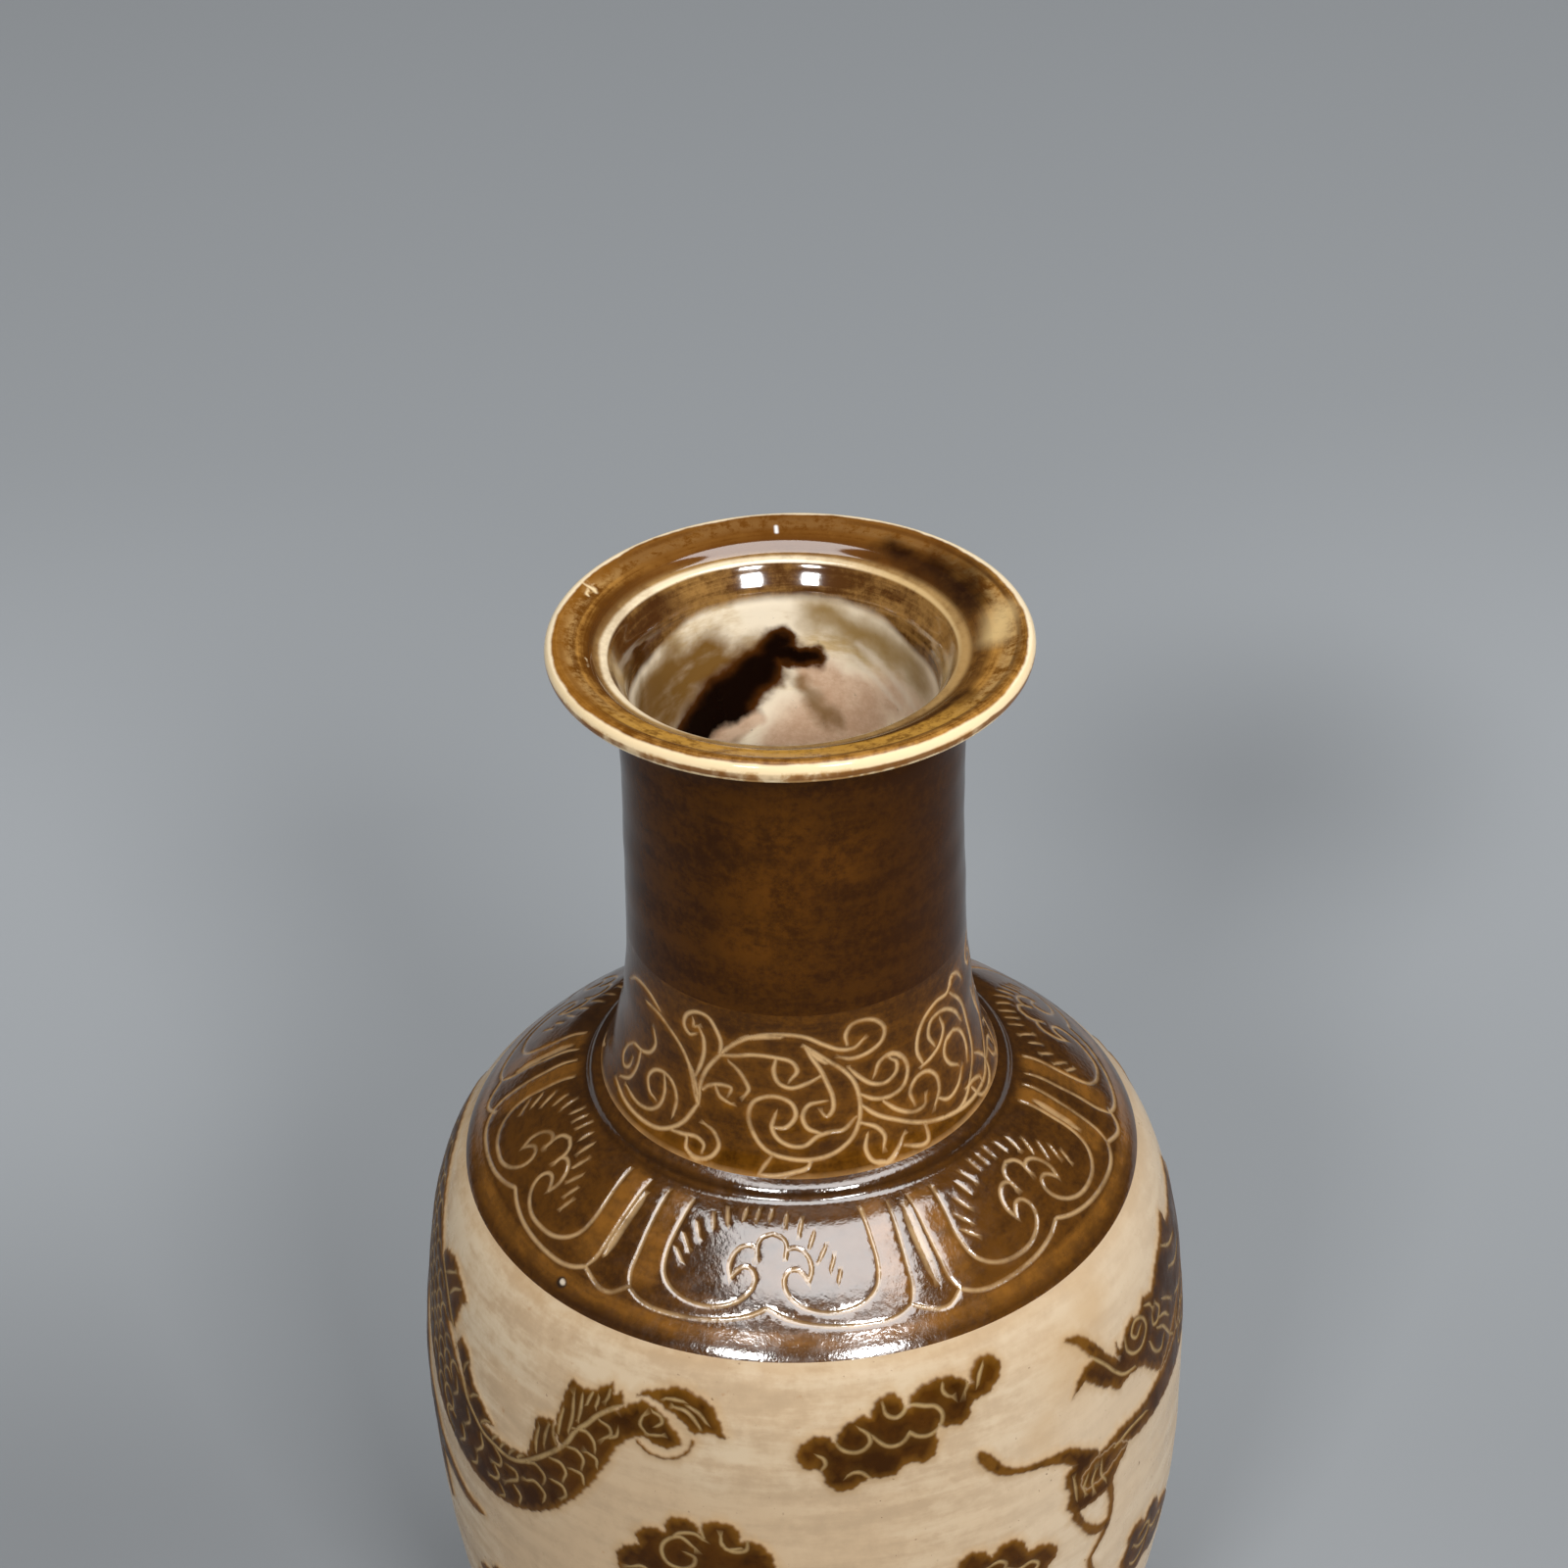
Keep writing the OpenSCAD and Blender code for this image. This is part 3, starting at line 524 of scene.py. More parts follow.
# Clouds as (degrees, mm) from their middles, clockwise. A point given twice is a notch
CLOUD_LOW = [
    (-10.9, 0.5), (-10.4, -1.3), (-9.1, -2.9), (-7.3, -3.9), (-5.9, -3.4), (-5.1, -2.1), (-5.1, -2.1),
    (-4.5, -4.3), (-3.5, -6), (-2.1, -7.1), (-0.7, -7.7), (0.3, -6.8), (0.3, -6.8), (0.5, -8.8),
    (1.2, -10.4), (2.7, -11.4), (4.1, -11.3), (5, -9.9), (5.6, -8.2), (7.4, -7.8), (9.5, -6.6),
    (10.5, -5.2), (10.3, -2.4), (9.8, -0.4), (10, 1.5), (9.5, 4.3), (7.9, 6.2), (7.9, 6.2), (6.2, 5.7),
    (5, 5.4), (5, 5.4), (4.1, 6.5), (2.9, 7.8), (0.8, 7.8), (-0.7, 7.5), (-0.7, 7.5), (-1.4, 8.2),
    (-2.6, 9.6), (-4.2, 10.3), (-5.7, 9.3), (-6.9, 7.1), (-7.1, 5.4), (-7.6, 4.3), (-7.6, 4.3), (-9.2, 4.1),
    (-10.4, 2.9)]
CLOUD_HIGH = [
    (-5, -1.2), (-4.9, -2.1), (-4.3, -3.4), (-2.4, -4.8), (0, -5.5), (1.9, -5.1), (3.6, -4), (4.8, -2.6),
    (4.8, -2.6), (5.4, -4.6), (6.3, -6.2), (8.3, -7), (10.2, -5), (10, -1.6), (7.8, 1.1), (5.2, 1.8),
    (5.2, 1.8), (4.6, 3.2), (4, 5.4), (2.6, 6.3), (1.2, 6.1), (-0.2, 5.7), (-1.6, 3), (-3, 0)]
CLOUD_WIDE = [
    (-11.3, 6.5), (-11.5, 3.5), (-10, 0), (-7.8, -1.5), (-7.8, -1.5), (-8.3, -4.7), (-6.1, -7.2),
    (-3.8, -7), (-3.8, -7), (-3.7, -10), (-2, -11.8), (0.4, -11.5), (1.4, -9), (1.4, -9), (2.2, -11.9),
    (4.8, -12.4), (6.9, -11), (7.3, -8), (7.3, -8), (9.7, -7.8), (11.6, -5), (12, -1), (11.5, 3.5),
    (9, 7.5), (5.5, 8.5), (5.5, 8.5), (4, 11.5), (0, 13), (-3.5, 10.8), (-3.5, 10.8), (-7, 12), (-10, 10)]
CLOUD_ROUND = [
    (-7.2, -5), (-7, -8), (-5, -10), (-2.8, -9), (-1.7, -6.6), (-1.7, -6.6), (-0.5, -8.8), (1.8, -9),
    (3.8, -6.7), (4.4, -3.6), (4.4, -3.6), (7, -3.4), (9.3, -1), (9.8, 2.2), (8.3, 4.5), (6.5, 7.5),
    (3, 8.5), (0, 7), (0, 7), (-3.5, 8), (-6.5, 5.5), (-8.5, 2), (-8.7, -2)]
LOW_LINES = [
    [(-7.6, 0.9), (-6.9, 1.6), (-6.6, 2.9), (-7.2, 4.3)], [(-5.1, -2.1), (-4.5, -0.7), (-3.5, 0.3),
     (-2.1, 0.7), (-0.9, 0.1), (-0.1, -1.3), (-0.2, -2.9), (-0.9, -4.1), (-1.4, -4.6)],
    [(0.3, -2.7), (1.2, -1.1), (2.2, 0.1), (3.4, 0.5), (4.6, 0), (5.4, -1.1), (5.8, -2.1), (5.8, -2.1),
     (6.1, -1.6), (7, -0.7), (8.4, -0.3), (9.8, -1), (10.6, -2.4), (10.9, -4.6), (10, -6.6), (8.4, -7.3),
     (6.7, -8.1), (5.6, -8.1)], [(2.2, -8.9), (2.4, -7.4), (3.1, -6.4), (4.1, -6.1), (5, -6.8), (5.5, -7.9),
     (5.4, -9.9), (4.8, -11.1)], [(-3.5, 6.1), (-2.6, 5.5), (-1.6, 5.7), (-0.9, 6.6), (-0.2, 7.6)]]
HIGH_LINES = [
    [(0.6, -4), (0.4, -2.6), (1, -1.2), (1.7, -0.7)], [(4.5, -3.7), (4.4, -2.1), (3.8, -0.8)],
    [(7.4, -5), (6.6, -3.4), (6, -1.4)]]
WIDE_LINES = [
    [(-2.7, -6.1), (-1.6, -7.6), (0.7, -8.2), (1.8, -7)], [(1.3, -11.7), (1.5, -9.5), (2, -7.3)],
    [(4.7, -6.7), (5.2, -5.4), (7.3, -6.1)], [(0.6, -4.4), (-1.6, -6.6), (-3.8, -4.4), (-4.3, -1.6),
     (-3.4, 1.4), (-1.2, 2), (0.4, 0.4), (0.6, -1.8), (-0.6, -2.6)], [(4.4, -8.6), (4.6, -6.4), (6.2, -5),
     (8, -5.8), (8.2, -8)], [(-9.2, 5.8), (-7.4, 4.6), (-6.3, 5.6), (-6.4, 7.6)],
    [(2.4, 3.2), (4.4, 1.2), (7, 1.8), (8, 4)]]
ROUND_LINES = [
    [(-4.6, -2.6), (-3, -0.4), (-0.4, -0.6), (0.6, -3), (-0.6, -4.6), (-2.4, -4)],
    [(0.8, -1.6), (2.6, 0.4), (5, 0), (6.2, 1.8), (5, 3.6), (3, 3)], [(-5.6, 2), (-4, 3.6), (-1.6, 3),
     (-0.8, 1.2)]]
# Where each kind of cloud lies, and its parts as (outline, lines, shift)
CLOUDS = [
    ([(9, 19.5), (141, 89), (-164, 11), (-98, 71)], [(CLOUD_LOW, LOW_LINES, (0, 0)),
                                                     (CLOUD_HIGH, HIGH_LINES, (11, -7))]),
    ([(-17, 51), (158, 78), (-124, 74), (92, 100), (-52, 96)], [(CLOUD_WIDE, WIDE_LINES, (0, 0))]),
    ([(28, 63), (62, 89), (172, 56.5), (-140, 13), (117, 15), (3, 107), (-147, 106)],
     [(CLOUD_ROUND, ROUND_LINES, (0, 0))]),
]

# Dragon's back from its tail, as (degrees, mm below the shoulder's edge, half its width)
DRAGON = [
    (-27.4, 18.6, 3.0), (-30.4, 23, 3.9), (-33.2, 30, 4.6), (-36.8, 37.8, 5.4), (-43, 46, 7),
    (-50, 50, 8.6), (-58, 50, 9.3), (-65, 45.5, 10), (-71, 38, 10.5), (-77, 29, 10.8), (-84, 20.5, 10.8),
    (-94, 15, 10.8), (-106, 16, 10.8), (-116, 23, 11), (-125, 34, 11), (-134, 45, 11.3), (-145, 53, 11.5),
    (-157, 54, 11.5), (-168, 46, 11.5), (-178, 35, 11.5), (-189, 26, 11.3), (-201, 23, 11), (-213, 28, 11),
    (-223, 37, 10.8), (-233, 46, 10.5), (-244, 50, 10), (-255, 48, 9.5), (-266, 43, 9), (-276, 41, 8),
    (-286, 44, 6.5), (-294, 46.5, 4.5), (-302, 47.3, 3.4), (-308, 46.5, 3.2), (-313, 48.5, 3.6),
    (-317, 50, 2)]
LEAF = [
    (-12, 17.4), (-12.6, 14), (-14, 10.6), (-15.7, 9), (-18.1, 7.8), (-19.7, 7.7), (-21.5, 8.5),
    (-24.2, 9.9), (-26, 11.7), (-26, 11.7), (-22.8, 11.7), (-21.3, 12.8), (-19.9, 13.8), (-18.6, 14.9),
    (-17.4, 16.3), (-16.5, 17.4), (-16.5, 17.4), (-14.9, 16.7), (-13.4, 16.8), (-12, 17.4)]
KNOB = [
    (-27.6, 15), (-26, 13.4), (-24.4, 12.4), (-22.8, 13.2), (-21.3, 14.5), (-20.2, 16.3), (-18.9, 18),
    (-18.4, 19.6), (-19.2, 21.2), (-21.2, 22.4), (-23.1, 21.6), (-24.6, 20.8), (-26.3, 22.4), (-29, 21),
    (-29, 17)]
KNOB_EDGE = [
    (-16.7, 18.9, 0.3), (-17.4, 21.8, 0.35), (-19.3, 24, 0.35), (-21.5, 24.8, 0.35), (-23.7, 24.1, 0.35),
    (-25.4, 22.2, 0.3)]
TAIL_LINES = [
    [(-21.3, 10.7), (-20, 10.5), (-18.6, 10.5)], [(-19.9, 12.1), (-18.1, 12.4), (-16.8, 13.7),
     (-15.7, 15.6)], [(-17.5, 11.4), (-16, 12.4), (-14.8, 14.2)], [(-23.1, 14.3), (-21.8, 14.9),
     (-21.5, 16.2), (-22.3, 17.4)], [(-23.4, 19.9), (-22.4, 19.6), (-21.5, 19.3)],
    [(-24.6, 16), (-24.9, 18), (-24, 19.6)]]
BACK_LINE = [
    (-27.8, 14.9), (-30.2, 17.4), (-32.3, 20.3), (-33.6, 22.8), (-35.5, 25.9), (-36.8, 29.6), (-38.6, 33),
    (-40.7, 36.2), (-43.4, 39.9), (-46, 42.9), (-48.8, 44.6), (-52, 44.6), (-55, 44.2), (-57.6, 42),
    (-60, 39.6), (-61.8, 36.2), (-63.4, 32), (-65.7, 27.5), (-68.7, 23.3), (-71.7, 19.6), (-75, 16.6)]
SCALE_LINES = [
    [(-36, 25.6), (-33.6, 24.9), (-32.3, 26.5), (-32, 28.4)], [(-28.4, 21.5), (-28.6, 22.8), (-29.7, 24)],
    [(-31.4, 20.8), (-29.9, 21.4), (-29.5, 23), (-30.6, 24.6)], [(-33.4, 30), (-31.8, 30.8), (-31.7, 32.8)],
    [(-37.2, 31.2), (-35.2, 30.8), (-34, 32.4), (-34.2, 34.6)], [(-36, 36.4), (-34.2, 36.6), (-33.8, 38.8)],
    [(-40, 36.6), (-38, 36.4), (-37, 38.2), (-37.4, 40.2)], [(-39.6, 42.2), (-37.6, 42.4), (-37, 44.4),
     (-37.8, 46)], [(-44.7, 42.1), (-43, 40.8), (-41, 42.5), (-41.2, 44.6)], [(-44.7, 47.1), (-43, 45.8),
     (-41, 47.5), (-41.2, 49.6)], [(-49, 47.1), (-47, 47.1), (-46.7, 48.8), (-48, 50.4), (-49.3, 52.1)],
    [(-47.3, 51.2), (-46, 52.9), (-46.3, 55)], [(-52, 45.4), (-50.5, 47.1), (-50.7, 49), (-52.3, 49.8)],
    [(-52, 50.4), (-51, 52.1), (-51.7, 53.8), (-53.3, 54.6)], [(-55.7, 45.8), (-55.2, 48.3), (-56.7, 51.2)],
    [(-56.7, 53.3), (-57, 55.2), (-58.3, 56.6)], [(-50.4, 55), (-49.8, 56.6), (-51, 58)],
    [(-59.6, 43), (-59, 45.6), (-60.4, 48)], [(-61, 50), (-60.6, 52.4), (-62, 54.4)],
    [(-63.6, 39.6), (-63.2, 42), (-64.6, 44.4)], [(-65, 46.4), (-64.8, 48.8), (-66.2, 50.8)]]
FIN_LINES = [
    [(-33.1, 14.8), (-33.5, 16.3), (-33.9, 18.2)], [(-36.3, 17.5), (-36.3, 23), (-36.8, 27)],
    [(-38, 22), (-38.4, 25.3), (-38.6, 29)], [(-34.8, 16.5), (-34.9, 20), (-35.2, 23)],
    [(-32, 15.2), (-32.1, 16.5), (-32.4, 17.9)], [(-30.3, 12.8), (-30.4, 14.2), (-30.8, 15.6)],
    [(-40.5, 28.2), (-41, 31), (-41.3, 34)], [(-39.6, 27.6), (-39.5, 30), (-39, 32.2)],
    [(-42.3, 30), (-42.8, 34), (-42.8, 37)], [(-45.5, 40.8), (-46.2, 41.6), (-46.8, 42.8)],
    [(-47.4, 41.2), (-48.1, 42.2), (-48.6, 43.6)], [(-49.4, 41.2), (-50.1, 42.4), (-50.6, 43.6)],
    [(-51.2, 41.2), (-52, 42.2), (-52.6, 43.4)], [(-53.4, 39.6), (-54.6, 40.4), (-55.6, 42)],
    [(-57, 36), (-58, 37), (-59, 38.6)], [(-60, 30), (-61, 32), (-61.6, 34.6)],
    [(-65.6, 16.4), (-67.6, 18.4), (-69, 21)], [(-69, 15.4), (-70.6, 17), (-72, 18.6)]]
HEAD = [
    (49.5, 29), (50.8, 27), (52.2, 25.6), (52.8, 21), (52.8, 21), (53.8, 23.6), (55, 21.6), (57.5, 19.6),
    (60, 20.8), (62, 18.7), (65, 20), (68, 17), (72, 14.8), (77, 11.5), (78, 15.5), (84, 14.5), (91, 12),
    (90, 18), (97, 21), (92, 25), (96, 32), (90, 40), (80, 41), (72, 42), (65, 42.5), (61.5, 38),
    (58.5, 34), (55, 32.8), (52, 33)]
JAW = [
    (42.6, 25.5), (43.6, 22.2), (45.8, 20.3), (48.3, 20.8), (50, 24), (52, 28.5), (51, 30.5), (48.7, 29.3),
    (47, 26.8), (45, 24.2)]
PAW = [
    (39.7, 44), (42, 43), (46, 45.5), (51, 46.5), (53.5, 50), (50.5, 54), (49, 56.8), (45, 57.3),
    (41, 56.5), (39.5, 53.5), (40.2, 50), (39.3, 47)]
HEAD_LINES = [
    [(55.2, 22.4), (55.1, 24.4), (55.4, 26), (57.1, 28.5), (59.5, 29.1), (61.5, 26), (60.6, 22.6),
     (58.3, 21.3), (57, 23.4), (58.3, 25.4), (59.5, 24.4)], [(62.1, 21), (63.6, 22.3), (64.2, 23.8)],
    [(62.1, 31), (63, 34.1), (64.5, 36.6), (66.2, 37.6), (67.4, 36)], [(65.1, 30.7), (67.4, 32.9),
     (69.2, 36.3), (70.6, 39.1), (72.1, 41)], [(66.2, 29.1), (68.6, 30.7), (70.4, 33.5)],
    [(68.6, 26.6), (70.4, 28.5), (72.1, 30.7)], [(63.8, 26), (64, 28.4), (65.6, 29), (66.8, 27),
     (65.8, 24.6)], [(46.8, 19.1), (49.8, 24.1), (51.8, 27.9), (53.9, 30.7), (57, 32)],
    [(73, 17), (76, 20), (80, 21.6)], [(74, 24), (78, 27), (83, 27)], [(75, 33), (80, 35.4), (86, 34)]]
PAW_LINES = [
    [(41, 46.6), (41.3, 49.6), (41.5, 52.8)], [(43.8, 48.6), (43, 50.8), (43.3, 53)],
    [(45.5, 48.8), (44.8, 51), (45, 53.5)], [(46.9, 48.3), (46.8, 51), (47.8, 54)],
    [(50, 47), (54, 46.2), (59, 47)]]
LIMBS = [
    [(42.4, 11.4, 0.25), (44.6, 13, 1.0), (46.3, 15.6, 1.45), (48, 19, 1.5), (49.8, 22.8, 1.5),
     (52, 27, 1.6)],
    [(48.2, 22.8, 0.6), (47, 25.2, 0.4)], [(49.2, 24.6, 0.6), (48.3, 27.6, 0.4)],
    [(50.2, 26.6, 0.6), (49.8, 29.8, 0.4)],
    [(51.6, 28.6, 0.6), (51.5, 32.2, 0.4)], [(53.4, 30.6, 0.6), (53, 33, 0.4)],
    [(45.5, 46.5, 2.6), (42.6, 42.5, 2.4), (39.8, 39.2, 1.9), (36, 37.7, 1.1), (31, 36, 0.9),
     (28.5, 34, 1.3),
     (26.6, 30.8, 1.6), (25, 27.3, 0.7)],
    [(41, 56.5, 0.9), (43, 62, 1), (45.6, 66.5, 1.4), (48.2, 67.5, 1)],
    [(48.7, 56, 1), (49.4, 62, 1), (48.8, 67, 1.1), (46.6, 71.5, 1), (44.8, 74.7, 0.9), (45.6, 80, 1.1),
     (47, 87, 0.9)],
    [(-89, 24, 6), (-86, 42, 5), (-79, 57, 4.2), (-73, 66.5, 3.6), (-67, 69.5, 2.4), (-61.5, 71.5, 1.6),
     (-56.5, 70.6, 0.5)],
    [(-76, 63, 3), (-74, 70, 2.6), (-71.5, 77, 2), (-70, 83, 0.7)],
    [(-161, 60, 5.5), (-168, 70, 4), (-176, 75, 3), (-183, 73, 1.8), (-188, 76, 0.6)],
    [(-172, 73, 2.6), (-175, 80, 2), (-179, 87, 0.7)],
    [(118, 52, 5.5), (113, 64, 4), (104, 71, 3), (96, 69, 1.8), (91, 72, 0.6)],
    [(108, 69, 2.6), (105, 77, 2), (100, 84, 0.7)],
]
FINS = [
    [(-74, 14), (-70, 12.5), (-66.5, 14), (-62.7, 16.8), (-62.7, 16.8), (-64.5, 20), (-65, 23.5), (-66, 27),
     (-76, 22)],
    [(-64.5, 30), (-63, 26.5), (-59.8, 28), (-59.5, 31), (-58, 34), (-55.5, 36.5), (-52.2, 39.4),
     (-52.2, 39.4), (-57, 42)],
    [(-44.7, 39.6), (-44.2, 36.8), (-43.6, 33), (-43, 28), (-43, 28), (-40.8, 26.4), (-39.7, 26.3),
     (-39.7, 26.3),
     (-39.3, 28), (-38.9, 30.6), (-38.6, 33), (-40.7, 37), (-43, 41)],
    [(-39.4, 28), (-38.9, 22.8), (-38.1, 18.7), (-37.4, 15), (-36.9, 13.5), (-36.9, 13.5), (-36, 14.5),
     (-33.4, 14.3),
     (-32.2, 13), (-30.1, 10.9), (-30.1, 10.9), (-29.4, 13.1), (-29.4, 13.1), (-28.4, 11.9), (-28.4, 11.9),
     (-27.8, 13.3),
     (-28.4, 15.5), (-31.3, 19), (-33.5, 23.5), (-36, 28.5), (-38, 31.5)],
]


def wobble(angle, t):
    """A turner's slight unevenness, in mm."""
    return (0.06 * np.sin(3 * angle + 0.11 * t) + 0.04 * np.sin(5 * angle - 0.23 * t + 1.3)
            + 0.035 * np.sin(0.55 * t + 2 * angle) + 0.02 * np.sin(11 * angle + 0.31 * t))


def portion(x):
    return np.clip(x, 0, 1)


def ends(v, start, end):
    """1 on a surface, falling to 0 over the last 2 mm at its two ends."""
    return portion(np.minimum(v["t"] - start, end - v["t"]) / 2)


def soft(x):
    x = portion(x)
    return x * x * (3 - 2 * x)


def groove(carving, values):
    """Depth of the carving at each point, in mm, and the share of cream that shows."""
    w, depth = carving.widths[values["index"]], carving.depths[values["index"]]
    share = np.clip(1 - (values["line"] / (w + 0.1)) ** 2, 0, 1)
    return depth * share, soft((w + 0.28 - values["line"]) / 0.52)


def raised(carving, values):
    """Signed distance in mm from the nearest edge of a raised shape, positive on the shape."""
    turned = values["flat"]
    on = np.zeros(len(turned), bool)
    for outline in carving.shapes:
        for turn in (-1, 0, 1):
            on |= inside(outline + [turn * 2 * math.pi, 0], turned)
    return np.where(on, values["edge"], -values["edge"])


# ---------------------------------------------------------------- materials


class Wire:
    """A shader value that takes part in Python sums."""

    def __init__(self, shader, socket):
        self.shader, self.socket = shader, socket

    def __add__(self, other):
        return self.shader.maths("ADD", self, other)

    def __sub__(self, other):
        return self.shader.maths("SUBTRACT", self, other)

    def __rsub__(self, other):
        return self.shader.maths("SUBTRACT", other, self)

    def __mul__(self, other):
        return self.shader.maths("MULTIPLY", self, other)

    __radd__ = __add__
    __rmul__ = __mul__


class Shader:
    """A material's node tree, with each node made by one call."""

    def __init__(self, name):
        self.material = bpy.data.materials.new(name)
        self.material.use_nodes = True
        self.tree = self.material.node_tree
        self.tree.nodes.clear()
        self.where = self.node("ShaderNodeTexCoord", out="Object")

    def node(self, kind, settings=None, inputs=None, out=0):
        made = self.tree.nodes.new(kind)
        for key, value in (settings or {}).items():
            setattr(made, key, value)
        for key, value in (inputs or {}).items():
            if isinstance(value, Wire):
                self.tree.links.new(value.socket, made.inputs[key])
            else:
                made.inputs[key].default_value = value
        return Wire(self, made.outputs[out])

    def maths(self, operation, a, b=0.0, clamp=False):
        return self.node("ShaderNodeMath", {"operation": operation, "use_clamp": clamp}, {0: a, 1: b})

    def attribute(self, name):
        return self.node("ShaderNodeAttribute", {"attribute_name": name}, out="Fac")

    def spread(self, value, low, high, first=0.0, last=1.0):
        return self.node("ShaderNodeMapRange", {"interpolation_type": "SMOOTHSTEP"},
                         {"Value": value, "From Min": low, "From Max": high, "To Min": first,
                          "To Max": last})

    def blend(self, a, b, share):
        return self.node("ShaderNodeMix", {"data_type": "RGBA"},
                         {0: share, 6: a if isinstance(a, Wire) else (*a, 1),
                          7: b if isinstance(b, Wire) else (*b, 1)}, out=2)

    def paint(self, base, rows):
        """Lays colours over a base, each row (colour, share)."""
        for colour, share in rows:
            base = self.blend(base, colour, share)
        return base

    def noise(self, scale, detail=3.0, rough=0.5, vector=None):
        return self.node("ShaderNodeTexNoise", {}, {"Vector": vector or self.where, "Scale": scale,
                                                    "Detail": detail, "Roughness": rough})

    def stretched(self, scale, turn=(0, 0, 0), shift=(0, 0, 0)):
        return self.node("ShaderNodeMapping", {}, {"Vector": self.where, "Scale": scale, "Rotation": turn,
                                                   "Location": shift})

    def axes(self):
        split = self.tree.nodes.new("ShaderNodeSeparateXYZ")
        self.tree.links.new(self.where.socket, split.inputs[0])
        return [Wire(self, o) for o in split.outputs]

    def reach(self, x, y):
        """Distance in mm from the bottle's axis."""
        flat = self.node("ShaderNodeCombineXYZ", {}, {"X": x, "Y": y, "Z": 0.0})
        return self.node("ShaderNodeVectorMath", {"operation": "LENGTH"}, {0: flat}, out="Value") * 1000.0

    def ragged(self, amount, scale):
        """The place, moved about by noise so that patches get uneven edges."""
        noise = self.node("ShaderNodeTexNoise", {}, {"Vector": self.where, "Scale": scale, "Detail": 4.0},
                          out="Color")
        shift = self.node("ShaderNodeVectorMath", {"operation": "MULTIPLY_ADD"},
                          {0: noise, 1: (amount,) * 3, 2: (-amount / 2,) * 3}, out="Vector")
        return self.node("ShaderNodeVectorMath", {"operation": "ADD"}, {0: self.where, 1: shift},
                         out="Vector")

    def strongest(self, made):
        for other in made[1:]:
            made[0] = self.maths("MAXIMUM", made[0], other)
        return made[0]

    def spot(self, centre, radius, edge, vector=None):
        """1 inside a ball about a point in mm, falling to 0 over the edge."""
        gap = self.node("ShaderNodeVectorMath", {"operation": "DISTANCE"},
                        {0: vector or self.where, 1: tuple(v * MM for v in centre)}, out="Value")
        return self.spread(gap, (radius + edge) * MM, max(radius - edge, 0.0) * MM)

    def spots(self, rows, vector=None):
        """The strongest of several balls, each (x, y, z, radius, edge) in mm."""
        return self.strongest([self.spot(row[:3], row[3], row[4], vector) for row in rows])

    def stroke(self, a, b, radius, edge, vector=None):
        """1 within a radius of the line between two points in mm, falling to 0 over the edge."""
        a, b = Vector(a) * MM, Vector(b) * MM
        run = b - a
        gap = self.node("ShaderNodeVectorMath", {"operation": "SUBTRACT"},
                        {0: vector or self.where, 1: tuple(a)}, out="Vector")
        share = self.node("ShaderNodeVectorMath", {"operation": "DOT_PRODUCT"},
                          {0: gap, 1: tuple(run / run.length_squared)}, out="Value")
        foot = self.node("ShaderNodeVectorMath", {"operation": "SCALE"},
                         {0: tuple(run), "Scale": self.maths("ADD", share, 0.0, True)}, out="Vector")
        far = self.node("ShaderNodeVectorMath", {"operation": "DISTANCE"}, {0: gap, 1: foot}, out="Value")
        return self.spread(far, (radius + edge) * MM, max(radius - edge, 0.0) * MM)

    def strokes(self, rows, vector=None):
        """The strongest of several strokes, each (start, end, radius, edge)."""
        return self.strongest([self.stroke(*row, vector) for row in rows])

    def bump(self, height, strength, distance=0.0002, under=None):
        inputs = {"Height": height, "Strength": strength, "Distance": distance}
        if under:
            inputs["Normal"] = under
        return self.node("ShaderNodeBump", {}, inputs, out="Normal")

    def finish(self, colour, roughness, normal=None, coat=0.0, ior=1.5, coat_ior=1.5, coat_rough=0.06):
        inputs = {"Base Color": colour, "Roughness": roughness, "IOR": ior, "Coat Weight": coat,
                  "Coat Roughness": coat_rough, "Coat IOR": coat_ior}
        if normal:
            inputs["Normal"] = normal
        shader = self.node("ShaderNodeBsdfPrincipled", {}, inputs)
        out = self.tree.nodes.new("ShaderNodeOutputMaterial")
        self.tree.links.new(shader.socket, out.inputs["Surface"])
        return self.material


